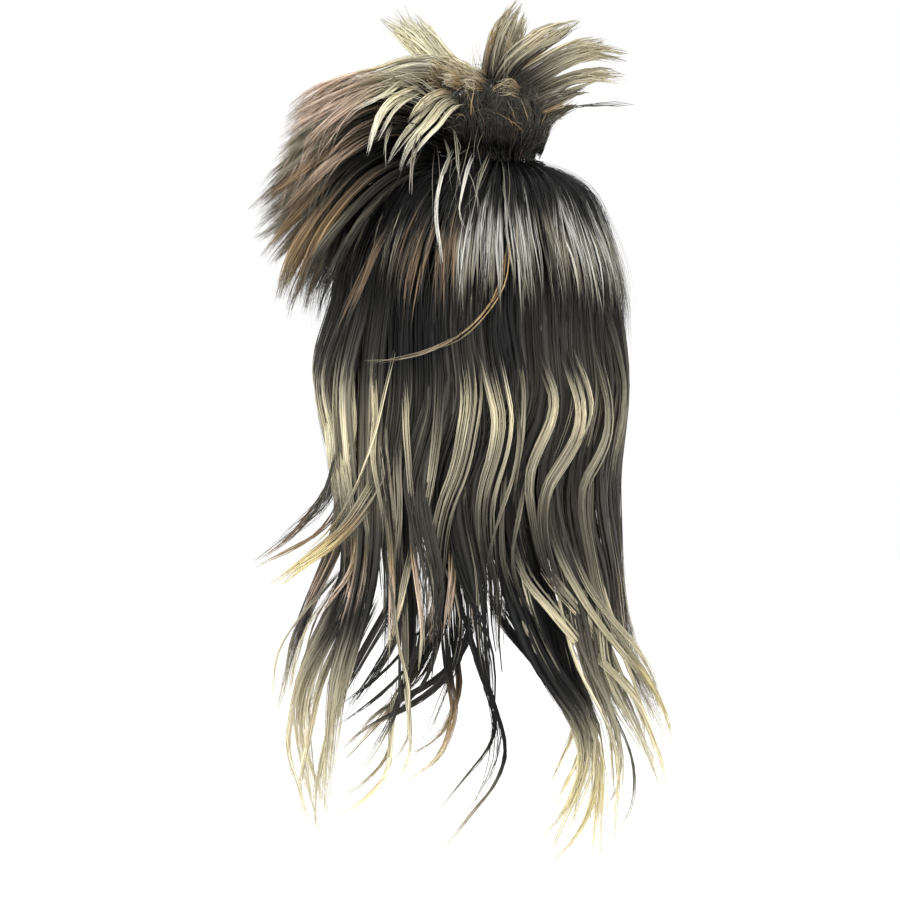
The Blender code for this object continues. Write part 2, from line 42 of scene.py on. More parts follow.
# Head under the wig and length of the hair, metres. The crown is the origin, the face looks along -X
head = {"halfDepth": 0.097, "halfWidth": 0.077, "dome": 0.105, "hairLength": 0.483}

# Hair colours as seen in daylight, 0 to 255. Silver and ash also serve for the painted sheen bands on the
# crown
hairColours = {
    "black": (15, 16, 16),
    "darkOlive": (60, 58, 51),
    "olive": (106, 101, 86),
    "ash": (166, 158, 137),
    "blonde": (211, 200, 168),
    "bright": (230, 220, 188),
    "pale": (240, 233, 202),
    "yellow": (240, 227, 172),
    "pink": (220, 196, 174),
    "brown": (130, 109, 87),
    "golden": (164, 138, 98),
    "silver": (200, 199, 190),
    "white": (240, 236, 224),
}

# How the colours follow each other down a lock, painted sheen bands included. The numbers are millimetres
# below the crown, or run from 0 at the root to 1 at the tip for a lock whose look has byDrop False
charts = {
    "dark": "50 black, 130 black, 170 darkOlive, 230 darkOlive, 270 darkOlive, 320 black, 483 darkOlive",
    "ashy": (
        "50 black, 130 black, 150 darkOlive, 170 olive, 200 darkOlive, 250 darkOlive, 285 ash, "
        "315 ash, 345 black"
    ),
    "front": (
        "50 black, 108 darkOlive, 135 ash, 160 blonde, 195 ash, 235 olive, 262 brown, 280 pink, "
        "298 darkOlive, 340 black"
    ),
    "frontDark": "50 black, 140 darkOlive, 190 olive, 240 darkOlive, 300 black, 350 black",
    "leftTail": (
        "50 black, 130 darkOlive, 148 ash, 168 blonde, 200 ash, 245 olive, 262 brown, 280 pink, "
        "294 black, 312 darkOlive, 330 ash, 350 blonde, 380 bright, 440 pale"
    ),
    "leftDark": (
        "50 black, 140 darkOlive, 160 olive, 205 olive, 250 darkOlive, 292 black, 312 darkOlive, "
        "334 ash, 366 blonde, 400 bright, 450 pale"
    ),
    "darkCurl": "50 black, 130 black, 170 darkOlive, 300 black, 368 darkOlive, 378 ash, 400 pale",
    "brownCurl": (
        "50 black, 150 darkOlive, 300 black, 350 black, 366 brown, 385 golden, 400 blonde, 420 pale"
    ),
    "longCurl": "50 black, 150 darkOlive, 300 black, 395 black, 412 olive, 428 ash, 465 pale",
    "paleCurl": "50 black, 262 olive, 290 ash, 320 olive, 350 ash, 385 pale, 440 yellow",
    "palest": "262 darkOlive, 300 ash, 340 blonde, 390 pale",
    "darkTail": (
        "50 black, 140 darkOlive, 280 black, 356 black, 374 olive, 392 blonde, 415 yellow, 470 yellow"
    ),
    "yellowTail": "340 black, 365 ash, 385 blonde, 410 yellow, 470 yellow",
    "rightTail": (
        "50 black, 140 olive, 165 ash, 205 darkOlive, 262 olive, 300 blonde, 345 blonde, 380 bright, "
        "430 yellow"
    ),
    "rightDark": (
        "50 black, 140 darkOlive, 250 darkOlive, 300 darkOlive, 345 olive, 370 ash, 395 blonde, "
        "430 yellow"
    ),
    "band": (
        "105 black, 130 darkOlive, 142 ash, 154 blonde, 172 blonde, 188 ash, 204 ash, 225 olive, "
        "262 darkOlive, 300 olive"
    ),
    "bandPink": (
        "105 black, 130 darkOlive, 142 ash, 154 blonde, 178 ash, 205 ash, 240 olive, 266 olive, "
        "282 pink, 315 pink, 335 pale"
    ),
    "ashBand": (
        "60 black, 105 darkOlive, 135 olive, 165 ash, 190 ash, 215 olive, 260 olive, 300 ash, "
        "340 blonde, 390 yellow"
    ),
    "frontBand": (
        "100 black, 122 darkOlive, 140 ash, 160 blonde, 195 blonde, 225 ash, 255 olive, 272 pink, "
        "290 brown"
    ),
    "goldBand": "100 black, 130 ash, 190 blonde, 235 ash, 245 golden, 262 yellow",
    "faint": "120 darkOlive, 170 olive, 210 ash, 250 olive, 290 darkOlive",
    "pinkEnd": "200 darkOlive, 245 olive, 262 golden, 272 pink, 300 pink, 330 pale",
    "beige": "230 darkOlive, 258 olive, 280 ash, 300 blonde, 330 blonde, 365 ash, 400 yellow",
    "darkThin": "280 black, 400 darkOlive",
    "darkThin2": "330 darkOlive, 410 olive, 440 ash, 460 pale",
    "flick": "180 darkOlive, 215 darkOlive, 245 brown, 262 golden, 270 pale",
    "flickGold": "200 blonde, 230 ash, 245 golden, 265 yellow, 290 pale",
    "arc": "50 golden, 90 golden, 140 ash",
    # painted sheen: the silver band 40 to 62 mm below the crown stands for the light's sheen on the back of
    # the short hair
    "silverSheenTop": (
        "-14 black, 16 black, 27 darkOlive, 40 silver, 62 silver, 76 ash, 88 darkOlive, 96 black"
    ),
    # painted sheen: a fainter ash band at the same height, for the sheen on the rest of the crown
    "greySheenTop": "-14 black, 26 black, 38 darkOlive, 50 ash, 64 olive, 78 darkOlive, 92 black",
    "darkTop": "-14 black, 50 black, 66 darkOlive, 80 black",
    "brownTop": "-14 black, 30 black, 44 darkOlive, 56 brown, 76 brown, 92 darkOlive, 106 black",
    "spike": "0 black, 0.16 darkOlive, 0.28 olive, 0.42 ash, 0.7 blonde, 1 ash",
    "spikeBlunt": "0 ash, 0.12 blonde, 0.28 pale, 0.5 pale, 0.8 pale, 1 silver",
    "spikeDark": "0 black, 0.35 darkOlive, 0.7 olive, 1 olive",
    "spikeWarm": "0 black, 0.3 brown, 0.5 golden, 0.75 ash, 1 blonde",
    "burst": "0 black, 0.4 darkOlive, 0.8 darkOlive, 1 olive",
    "overTop": "0 black, 0.3 darkOlive, 0.75 darkOlive, 1 olive",
    "pinkFront": "20 black, 44 darkOlive, 60 brown, 80 brown, 104 darkOlive, 122 black",
    "goldTease": "0 golden, 0.3 golden, 0.7 blonde, 1 bright",
    "burstGold": "0 black, 0.45 brown, 0.75 golden, 1 ash",
    "fringeTop": "0 ash, 0.1 bright, 0.26 white, 0.44 pale, 0.62 pink, 0.88 pink, 1 brown",
    "fringeTopDark": "0 darkOlive, 0.15 ash, 0.4 blonde, 0.6 pink, 0.85 brown, 1 olive",
    "fringeMid": "0 black, 0.22 darkOlive, 0.42 brown, 0.62 pink, 0.82 brown, 1 olive",
    "fringeLow": "0 black, 0.4 black, 0.55 darkOlive, 0.72 olive, 0.86 brown, 1 ash",
    "fringeDark": "0 black, 0.4 darkOlive, 0.8 darkOlive, 1 olive",
    "sweepBlonde": (
        "0 ash, 0.06 bright, 0.16 white, 0.36 pale, 0.52 blonde, 0.66 pink, 0.84 pink, 1 brown"
    ),
    "sweepPink": "0 golden, 0.14 blonde, 0.3 pale, 0.46 blonde, 0.6 pink, 0.8 pink, 1 brown",
    "sweepPink2": "0 black, 0.36 darkOlive, 0.48 brown, 0.6 pink, 0.74 brown, 1 olive",
    "sweepOlive": "0 black, 0.2 darkOlive, 0.4 olive, 0.7 ash, 0.9 olive, 1 ash",
    "sweepBrown": "0 black, 0.3 darkOlive, 0.48 brown, 0.66 golden, 0.86 brown, 1 olive",
    "sweepGold": "0 black, 0.36 black, 0.5 darkOlive, 0.62 brown, 0.84 golden, 1 olive",
    "sweepAsh": "0 black, 0.3 darkOlive, 0.5 darkOlive, 0.66 olive, 0.82 darkOlive, 1 olive",
    "point": "0 olive, 0.2 blonde, 0.5 pale, 1 white",
    "pointGold": "0 golden, 0.5 blonde, 1 bright",
    "fine": "0 darkOlive, 0.4 ash, 1 silver",
    "fillDark": "200 black, 330 darkOlive, 380 olive",
    "broadBand": (
        "100 black, 114 darkOlive, 126 ash, 140 bright, 180 pale, 204 bright, 226 ash, 255 olive, "
        "280 pink"
    ),
    "wisp": "0 olive, 0.25 white, 1 white",
    "yellow": "255 olive, 285 blonde, 320 yellow, 400 yellow",
}


def linear(colour):
    share = np.array(colour, float) / 255
    return np.where(share < 0.04045, share / 12.92, ((share + 0.055) / 1.055) ** 2.4)


def chartColour(chart, at):
    stops = [stop.split() for stop in charts[chart].split(", ")]
    places = [float(place) for place, _ in stops]
    tones = np.array([linear(hairColours[dyeAndSheen]) for _, dyeAndSheen in stops])
    return np.stack([np.interp(at, places, tones[:, k]) for k in range(3)], axis=-1)


def unit(vectors):
    return vectors / np.maximum(np.linalg.norm(vectors, axis=-1, keepdims=True), 1e-9)


def smoothStep(low, high, at):
    share = np.clip((at - low) / (high - low), 0, 1)
    return share * share * (3 - 2 * share)


def alongCurve(knots, count):
    # evenly spaced points on one smooth curve through the knots
    knots = np.array(knots, float)
    reach = np.concatenate([[0], np.cumsum(np.linalg.norm(np.diff(knots, axis=0), axis=1))])
    slopes = np.gradient(knots, reach, axis=0)
    at = np.linspace(0, reach[-1], count)
    k = np.clip(np.searchsorted(reach, at, side="right") - 1, 0, len(knots) - 2)
    span = (reach[k + 1] - reach[k])[:, None]
    t = (at - reach[k])[:, None] / span
    start = knots[k] * (2 * t**3 - 3 * t**2 + 1) + slopes[k] * span * (t**3 - 2 * t**2 + t)
    return start + knots[k + 1] * (3 * t**2 - 2 * t**3) + slopes[k + 1] * span * (t**3 - t**2)


def sampleRows(rows, share):
    place = share * (len(rows) - 1)
    low = np.clip(place.astype(int), 0, len(rows) - 2)
    part = (place - low)[..., None]
    return rows[low] * (1 - part) + rows[low + 1] * part


# What a lock is grown with, unless its own look says otherwise. Lengths in metres
plainLook = {
    "count": 40,
    "strand": 0.0009,  # width of one strand
    "flat": 0.55,
    "step": 0.015,  # length of one segment
    "perWisp": 8,
    "overlap": 1.5,
    "soft": False,  # thins out towards its sides
    "gather": 0.75,  # how far a wisp closes at its tip
    "shortest": 0.84,
    "startSpread": 0.0,
    "sink": 0.0,  # how deep the root lies under the hair beside it
    "wave": 0.0,
    "waveLength": 0.13,
    "waveTop": 0.154,
    "waveMix": 0.4,
    "stray": 0.0012,
    "widthAt": (0, 0.3, 0.7, 1),
    "widths": (0.8, 1, 0.9, 0.25),
    "byDrop": True,
    "jitter": 5,
    "chart": "dark",
    "light": "",
    "lightShare": 0.0,
    "root": 0.7,
    "thinsAt": 0.55,
    "tip": 0.15,
}


def growLock(batch, knots, facing, width, depth, look):
    # strands of one lock, spread round a guide and gathered into wisps
    look = {**plainLook, **look}
    knots = np.array(knots, float)
    length = np.linalg.norm(np.diff(knots, axis=0), axis=1).sum()
    rows = max(5, round(length / look["step"]) + 1)
    guide = alongCurve(knots, rows)
    along = unit(np.gradient(guide, axis=0))
    across = unit(np.cross(along, facing(guide)))
    up = np.cross(across, along)
    count = look["count"]
    wisps = max(1, round(count / look["perWisp"]))
    wisp = np.arange(count) % wisps
    ends = chance.uniform(look["shortest"], 1, (count, 1))
    grid = np.linspace(0, 1, rows)[None, :]
    begin = chance.uniform(0, 1, (count, 1)) * look["startSpread"]
    share = begin + (ends - begin) * grid
    seat = (np.arange(wisps) + chance.uniform(0.2, 0.8, wisps)) / wisps * 2 - 1
    if look["soft"]:
        seat = np.clip(chance.normal(0, 0.55, wisps), -1.5, 1.5)
    level = chance.uniform(-1, 1, wisps)
    own = chance.uniform(-1, 1, (2, count, 1))
    gather = 1 - look["gather"] * smoothStep(0.1, 1, share)
    spread = width * np.interp(share, look["widthAt"], look["widths"])
    side = spread * (seat[wisp][:, None] + own[0] * look["overlap"] / wisps * gather)
    rise = depth * (1 - 0.6 * share) * (level[wisp][:, None] * 0.6 + own[1] * 0.4 * gather)
    drop = -sampleRows(guide[:, 2:], share)[..., 0]
    phase = 2 * pi * (drop - look["waveTop"]) / look["waveLength"]
    phase = phase + chance.normal(0, look["waveMix"], wisps)[wisp][:, None]
    swing = look["wave"] * smoothStep(0.02, 0.3, share) * (1 - 0.7 * smoothStep(0.7, 1, share))
    side = side + swing * np.cos(phase) * (1 if across[:, 0].mean() > 0 else -1)
    rise = rise + 0.3 * swing * np.cos(phase + 1.3) - look["sink"] * (1 - smoothStep(0, 0.3, share))
    turns = chance.uniform(0.5, 1.7, (2, count, 1))
    start = chance.uniform(0, 2 * pi, (2, count, 1))
    drift = look["stray"] * smoothStep(0.05, 1, share)
    side = side + drift * np.sin(turns[0] * 2 * pi * share + start[0])
    rise = rise + drift * np.sin(turns[1] * 2 * pi * share + start[1])
    points = sampleRows(guide, share) + sampleRows(across, share) * side[..., None]
    points = points + sampleRows(up, share) * rise[..., None]
    at = -1000 * points[..., 2] if look["byDrop"] else share
    jitter = look["jitter"] if look["byDrop"] else 0.05
    at = at + chance.normal(0, jitter, wisps)[wisp][:, None] + chance.normal(0, 0.6 * jitter, (count, 1))
    tone = chartColour(look["chart"], at)
    if look["light"]:
        bright = (chance.random(wisps) < look["lightShare"])[wisp]
        tone[bright] = chartColour(look["light"], at)[bright]
    shade = np.exp(chance.normal(0, 0.12, wisps)[wisp] + chance.normal(0, 0.16, count))
    half = look["strand"] / 2 * chance.uniform(0.7, 1.25, (count, 1))
    half = half * (1 - (1 - look["tip"]) * smoothStep(look["thinsAt"], 1, grid))
    half = half * (look["root"] + (1 - look["root"]) * smoothStep(0, 0.2, grid))
    batch.append((points, half, sampleRows(up, share), tone * shade[:, None, None], look["flat"]))


def strandMesh(name, batch, finish, nodes):
    # one closed three-sided tube for each strand, all joined
    corners = ((-1, -0.4), (1, -0.4), (0, 0.8))
    places, tones, quads, caps, maps = [], [], [], [], []
    base = 0
    for points, half, up, tone, flat in batch:
        count, rows = half.shape
        along = unit(np.gradient(points, axis=1))
        across = unit(np.cross(along, up))
        rise = np.cross(across, along)
        half = half[..., None]
        ring = [points + across * (half * a) + rise * (half * b * flat) for a, b in corners]
        places.append(np.stack(ring, axis=2).reshape(-1, 3))
        tones.append(np.repeat(tone.reshape(-1, 3), 3, axis=0))
        number = base + np.arange(count * rows * 3).reshape(count, rows, 3)
        after = np.roll(number, -1, axis=2)
        quads.append(
            np.stack([after[:, :-1], number[:, :-1], number[:, 1:], after[:, 1:]], axis=-1).reshape(-1, 4)
        )
        caps.append(number[:, 0])
        caps.append(number[:, -1, ::-1])
        lane = chance.uniform(0, 200, (count, 1, 1)) + half * 1000 * np.array([-1, 1, 0])
        run = np.linalg.norm(np.diff(points, axis=1), axis=2).sum(axis=1)[:, None] * np.linspace(0, 10, rows)
        maps.append(np.stack([lane, np.repeat(run[..., None], 3, axis=2)], axis=-1).reshape(-1, 2))
        base += count * rows * 3
    places, tones, maps = np.concatenate(places), np.concatenate(tones), np.concatenate(maps)
    quads, caps = np.concatenate(quads), np.concatenate(caps)
    corner = np.concatenate([quads.ravel(), caps.ravel()])
    starts = np.concatenate([np.arange(len(quads)) * 4, len(quads) * 4 + np.arange(len(caps)) * 3])
    mesh = bpy.data.meshes.new(name)
    mesh.vertices.add(len(places))
    mesh.vertices.foreach_set("co", places.astype(np.float32).ravel())
    mesh.loops.add(len(corner))
    mesh.loops.foreach_set("vertex_index", corner.astype(np.int32))
    mesh.polygons.add(len(starts))
    mesh.polygons.foreach_set("loop_start", starts.astype(np.int32))
    mesh.update(calc_edges=True)
    mesh.shade_smooth()
    dyeAndSheen = mesh.color_attributes.new("dyeAndSheen", "FLOAT_COLOR", "POINT")
    dyeAndSheen.data.foreach_set("color", np.column_stack([tones, np.ones(len(tones))]).astype(np.float32).ravel())
    lanes = mesh.uv_layers.new(name="strandLane")
    lanes.data.foreach_set("uv", maps[corner].astype(np.float32).ravel())
    mesh.materials.append(finish)
    piece = bpy.data.objects.new(name, mesh)
    bpy.context.collection.objects.link(piece)
    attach(piece, "root")
    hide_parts(*nodes)
    print(f"{name}: {len(quads) * 2 + len(caps)} triangles")
    return piece


def outwards(guide):
    # away from the middle of the head, level
    flat = guide * np.array([1, 1.5, 0])
    return unit(flat)


def fixedWay(x, y, z):
    return lambda guide: np.tile(np.array([x, y, z], float), (len(guide), 1))


# Materials: fibre for every strand, coloured by its dye and painted sheen, and the net of the cap
def newMaterial(name):
    made = bpy.data.materials.new(name)
    made.use_nodes = True
    return made, made.node_tree, made.node_tree.nodes["Principled BSDF"]


def fibreGroup():
    # colour of a strand, uneven along it, with a matching roughness
    group = bpy.data.node_groups.new("fibreTone", "ShaderNodeTree")
    group.interface.new_socket("DyeAndSheen", in_out="INPUT", socket_type="NodeSocketColor")
    group.interface.new_socket("Unevenness", in_out="INPUT", socket_type="NodeSocketFloat")
    group.interface.new_socket("Colour", in_out="OUTPUT", socket_type="NodeSocketColor")
    group.interface.new_socket("Roughness", in_out="OUTPUT", socket_type="NodeSocketFloat")
    group.interface.new_socket("Height", in_out="OUTPUT", socket_type="NodeSocketFloat")
    nodes, links = group.nodes, group.links
    into, out = nodes.new("NodeGroupInput"), nodes.new("NodeGroupOutput")
    lane = nodes.new("ShaderNodeUVMap")
    lane.uv_map = "strandLane"  # millimetres across, tenths of a metre along
    stretch = nodes.new("ShaderNodeMapping")
    stretch.inputs["Scale"].default_value = (1.3, 1.6, 1)
    links.new(lane.outputs["UV"], stretch.inputs["Vector"])
    noise = nodes.new("ShaderNodeTexNoise")
    noise.inputs["Scale"].default_value = 1
    noise.inputs["Detail"].default_value = 2
    noise.inputs["Roughness"].default_value = 0.65
    links.new(stretch.outputs["Vector"], noise.inputs["Vector"])
    level = nodes.new("ShaderNodeMapRange")
    level.inputs["From Min"].default_value = 0.3
    level.inputs["From Max"].default_value = 0.7
    level.inputs["To Min"].default_value = -1
    level.inputs["To Max"].default_value = 1
    links.new(noise.outputs["Fac"], level.inputs["Value"])
    swing = nodes.new("ShaderNodeMath")
    swing.operation = "MULTIPLY_ADD"
    swing.inputs[2].default_value = 1
    links.new(level.outputs["Result"], swing.inputs[0])
    links.new(into.outputs["Unevenness"], swing.inputs[1])
    tint = nodes.new("ShaderNodeVectorMath")
    tint.operation = "SCALE"
    links.new(into.outputs["DyeAndSheen"], tint.inputs[0])
    links.new(swing.outputs["Value"], tint.inputs["Scale"])
    links.new(tint.outputs["Vector"], out.inputs["Colour"])
    rough = nodes.new("ShaderNodeMapRange")
    rough.inputs["To Min"].default_value = 0.36
    rough.inputs["To Max"].default_value = 0.56
    links.new(noise.outputs["Fac"], rough.inputs["Value"])
    links.new(rough.outputs["Result"], out.inputs["Roughness"])
    links.new(noise.outputs["Fac"], out.inputs["Height"])
    return group


def hairMaterial(name, group, unevenness, specular):
    made, tree, shader = newMaterial(name)
    dyeAndSheen = tree.nodes.new("ShaderNodeVertexColor")
    dyeAndSheen.layer_name = "dyeAndSheen"
    tone = tree.nodes.new("ShaderNodeGroup")
    tone.node_tree = group
    tone.inputs["Unevenness"].default_value = unevenness
    tree.links.new(dyeAndSheen.outputs["Color"], tone.inputs["DyeAndSheen"])
    tree.links.new(tone.outputs["Colour"], shader.inputs["Base Color"])
    tree.links.new(tone.outputs["Roughness"], shader.inputs["Roughness"])
    bump = tree.nodes.new("ShaderNodeBump")
    bump.inputs["Strength"].default_value = 0.5
    bump.inputs["Distance"].default_value = 0.0004
    tree.links.new(tone.outputs["Height"], bump.inputs["Height"])
    tree.links.new(bump.outputs["Normal"], shader.inputs["Normal"])
    shader.inputs["Specular IOR Level"].default_value = specular
    return made


def netMaterial():
    # fine elastic net of the cap: diamond mesh in bump and colour
    made, tree, shader = newMaterial("capNet")
    nodes, links = tree.nodes, tree.links
    place = nodes.new("ShaderNodeTexCoord")
    turn = nodes.new("ShaderNodeMapping")
    turn.inputs["Rotation"].default_value = (0, radians(45), 0)
    links.new(place.outputs["Object"], turn.inputs["Vector"])
    net = []
    for way in ("X", "Z"):
        wave = nodes.new("ShaderNodeTexWave")
        wave.bands_direction = way
        wave.inputs["Scale"].default_value = 190
        wave.inputs["Distortion"].default_value = 0.6
        links.new(turn.outputs["Vector"], wave.inputs["Vector"])
        net.append(wave)
    cross = nodes.new("ShaderNodeMath")
    cross.operation = "MAXIMUM"
    links.new(net[0].outputs["Fac"], cross.inputs[0])
    links.new(net[1].outputs["Fac"], cross.inputs[1])
    ramp = nodes.new("ShaderNodeValToRGB")
    ramp.color_ramp.elements[0].position = 0.35
    ramp.color_ramp.elements[0].color = (0.006, 0.006, 0.006, 1)
    ramp.color_ramp.elements[1].position = 0.75
    ramp.color_ramp.elements[1].color = (0.045, 0.042, 0.038, 1)
    links.new(cross.outputs["Value"], ramp.inputs["Fac"])
    links.new(ramp.outputs["Color"], shader.inputs["Base Color"])
    bump = nodes.new("ShaderNodeBump")
    bump.inputs["Distance"].default_value = 0.0004
    links.new(cross.outputs["Value"], bump.inputs["Height"])
    links.new(bump.outputs["Normal"], shader.inputs["Normal"])
    shader.inputs["Roughness"].default_value = 0.85
    return made


fibre = fibreGroup()
streakedHair = hairMaterial("streakedHair", fibre, unevenness=0.55, specular=0.3)
darkHair = hairMaterial("darkHair", fibre, unevenness=0.60, specular=0.35)
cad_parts["cap"].data.materials.clear()
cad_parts["cap"].data.materials.append(netMaterial())
print("materials ready")


# Guides of the long locks from the face round to the nape, one side. Rim, mid, low and tip are places
# along X as shares of the head's half depth, drop is a share of the hair's length
nearLocks = (
    # angle, rim, mid, low, tip, drop, depth, body, chart, light chart, light share
    (23, -1.10, -1.06, -0.98, -1.58, 0.556, 0.85, 0.70, "frontDark", "front", 0.5),
    (32, -1.06, -0.90, -1.22, -1.42, 0.800, 0.85, 0.80, "leftDark", "leftTail", 0.85),
    (42, -0.91, -0.86, -1.20, -1.06, 0.944, 1.00, 1.90, "leftDark", "leftTail", 0.85),
    (52, -0.71, -0.74, -0.94, -1.02, 0.907, 1.12, 1.40, "leftDark", "leftTail", 0.5),
    (61, -0.54, -0.60, -0.57, -0.60, 0.720, 1.00, 1.40, "dark", "ashy", 0.5),
    (69, -0.39, -0.47, -0.46, -0.98, 0.896, 0.82, 0.25, "darkCurl", "ashy", 0.25),
    (77, -0.25, -0.36, -0.30, -0.28, 0.735, 1.12, 1.10, "dark", "ashy", 0.45),
    (85, -0.10, -0.20, -0.10, -0.48, 0.855, 0.94, 0.22, "brownCurl", "ashy", 0.2),
    (94, 0.07, -0.05, 0.18, -0.26, 0.958, 1.16, 0.16, "longCurl", "ashy", 0.2),
    (103, 0.23, 0.11, 0.14, 0.22, 0.710, 0.88, 0.90, "dark", "ashy", 0.3),
    (112, 0.38, 0.23, 0.76, 0.51, 0.968, 1.12, 1.30, "darkTail", "ashy", 0.2),
    (121, 0.53, 0.40, 0.82, 0.90, 0.968, 0.88, 1.30, "darkTail", "rightTail", 0.3),
    (131, 0.68, 0.60, 0.95, 1.00, 0.951, 1.15, 1.00, "rightDark", "rightTail", 0.45),
    (142, 0.84, 0.80, 1.00, 1.38, 0.898, 1.05, 1.10, "rightDark", "rightTail", 0.55),
    (155, 1.01, 0.96, 1.08, 1.42, 0.826, 0.95, 0.80, "rightDark", "rightTail", 0.55),
    (170, 1.10, 1.04, 1.08, 1.30, 0.750, 1.08, 0.60, "rightDark", "rightTail", 0.5),
)
farLocks = (
    # angle, rim, mid, low, tip, drop, depth, body, chart, light chart, light share
    (23, -1.09, -1.04, -0.96, -1.44, 0.530, 0.85, 0.70, "frontDark", "front", 0.5),
    (32, -1.05, -0.91, -1.20, -1.40, 0.790, 0.85, 0.80, "leftDark", "leftTail", 0.6),
    (42, -0.91, -0.88, -1.22, -1.17, 0.930, 1.00, 1.80, "leftDark", "leftTail", 0.6),
    (52, -0.71, -0.77, -0.98, -1.05, 0.885, 1.12, 1.30, "leftDark", "leftTail", 0.5),
    (61, -0.54, -0.62, -0.60, -0.63, 0.720, 1.00, 1.30, "dark", "ashy", 0.4),
    (69, -0.39, -0.50, -0.52, -1.02, 0.812, 0.78, 0.50, "darkCurl", "ashy", 0.25),
    (77, -0.25, -0.39, -0.35, -0.34, 0.730, 1.12, 1.00, "dark", "ashy", 0.35),
    (85, -0.10, -0.18, -0.30, -1.00, 0.865, 0.92, 0.50, "brownCurl", "ashy", 0.2),
    (94, 0.07, -0.04, 0.02, 0.06, 0.720, 1.12, 1.00, "dark", "ashy", 0.2),
    (103, 0.23, 0.12, 0.15, 0.22, 0.710, 0.90, 0.90, "dark", "ashy", 0.3),
    (112, 0.38, 0.25, 0.74, 0.86, 0.915, 1.12, 1.20, "darkTail", "ashy", 0.2),
    (121, 0.53, 0.42, 0.84, 0.90, 0.965, 0.86, 1.20, "darkTail", "rightTail", 0.3),
    (131, 0.68, 0.64, 0.98, 1.06, 0.915, 1.15, 1.00, "rightDark", "rightTail", 0.35),
    (142, 0.84, 0.82, 1.06, 1.40, 0.900, 1.05, 1.00, "rightDark", "rightTail", 0.4),
    (155, 1.01, 0.98, 1.11, 1.42, 0.828, 0.95, 0.80, "rightDark", "rightTail", 0.4),
    (170, 1.10, 1.05, 1.08, 1.30, 0.755, 1.08, 0.60, "rightDark", "rightTail", 0.35),
)

longHair = {
    "seat": 0.0035,  # inside of the hair above the head
    "body": 0.0065,
    "rootDrop": 0.058,
    "capDrop": 0.072,
    "leaveDrop": 0.088,  # where the hair leaves the cap
    "levels": (0.28, 0.6, 0.8),  # mid as a share of the hair, then low and tip as shares of the lock
    "round": (0.1, 0.08),  # half depth and half width of the ring on which the locks stand
    "leastWave": 0.0012,
    "wave": {-1: 0.0045, 1: 0.0035},  # sideways swing towards the back, near and far
    "stray": 0.0016,
    "looseStray": 0.0050,
    "thinBody": 0.4,  # below this a lock is a thin curl
    "thinCount": 0.6,
    "shortLock": 0.74,  # below this drop a lock thins out as a curl does
    "thinShortest": (0.40, 0.52),  # broad strands, then the others
    "layers": (  # strand width, flatness, count near, count far, strands in a wisp, depth, shortest
        (0.0060, 0.10, 6, 6, 1, 0.0006, 0.72),
        (0.0022, 0.22, 26, 24, 4, 0.0022, 0.80),
        (0.0007, 0.60, 36, 22, 6, 0.0036, 0.76),
        (0.0004, 0.60, 3, 2, 1, 0.0060, 0.80),
    ),
}


def polarAt(drop):
    return acos(max(-1, 1 - drop / head["dome"]))


def domePoint(angle, polar, offset):
    turn = radians(angle)
    return np.array([
        -(head["halfDepth"] + offset) * np.sin(polar) * np.cos(turn),
        -(head["halfWidth"] + offset) * np.sin(polar) * np.sin(turn),
        -head["dome"] + (head["dome"] + offset) * np.cos(polar),
    ])


def lockGuide(row, side):
    # side is -1 near, 1 far
    angle, *shares, length, depth = row[:7]
    offset = longHair["seat"] + longHair["body"] / 2
    leave = longHair["leaveDrop"]
    foot = domePoint(angle, polarAt(leave), offset)
    width = (head["halfWidth"] + offset) * np.sin(radians(angle))
    end = length * head["hairLength"]
    mid, low, tail = longHair["levels"]
    levels = [leave, mid * head["hairLength"], low * end, tail * end, end]
    places = [foot[0], *(share * head["halfDepth"] for share in shares)]
    depths = [abs(foot[1]), width, width * (1 + depth) / 2, width * depth, width * depth]
    roots = (longHair["rootDrop"], longHair["capDrop"])
    knots = [domePoint(angle, polarAt(drop), offset) for drop in roots]
    knots = [np.array([knot[0], side * abs(knot[1]), knot[2]]) for knot in knots]
    return knots + [np.array([x, side * y, -drop]) for x, y, drop in zip(places, depths, levels)]


def lockHalfWidth(rows, k):
    # half the way to the locks beside it
    angle = rows[k][0]
    before = rows[k - 1][0] if k else 2 * angle - rows[1][0]
    after = rows[k + 1][0] if k + 1 < len(rows) else 360 - angle
    turn = radians(angle)
    deep, wide = longHair["round"]
    return radians(after - before) / 4 * np.hypot(deep * np.sin(turn), wide * np.cos(turn))


def longHairBody(batch, rows, side):
    for k, row in enumerate(rows):
        guide = lockGuide(row, side)
        width = lockHalfWidth(rows, k)
        body, chart, light, lightShare = row[7:]
        thin = body < longHair["thinBody"]
        towardsBack = smoothStep(60, 95, row[0]) * (1 - smoothStep(145, 170, row[0]))
        for strand, flat, nearCount, farCount, perWisp, depth, shortest in longHair["layers"]:
            broad = strand > 0.005
            if thin or row[5] < longHair["shortLock"]:
                shortest = longHair["thinShortest"][0 if broad else 1]
            count = nearCount if side < 0 else farCount
            look = {
                "count": round(count * (longHair["thinCount"] if thin else 1)),
                "strand": strand,
                "flat": flat,
                "perWisp": perWisp,
                "chart": chart,
                "light": light if perWisp > 1 else "",
                "lightShare": lightShare,
                "widthAt": (0, 0.3, 0.55, 0.75, 1),
                "widths": (1.0, 1.1, 0.7 if thin else 1.05, 0.85 * body, 0.08),
                "wave": longHair["leastWave"] + longHair["wave"][side] * towardsBack,
                "shortest": shortest,
                "startSpread": 0.06,
                "gather": 0.8,
                "stray": longHair["stray" if strand > 0.0005 else "looseStray"],
                "step": 0.022 if broad else 0.0160,
                "tip": 0.1,
            }
            growLock(batch, guide, outwards, width, depth, look)


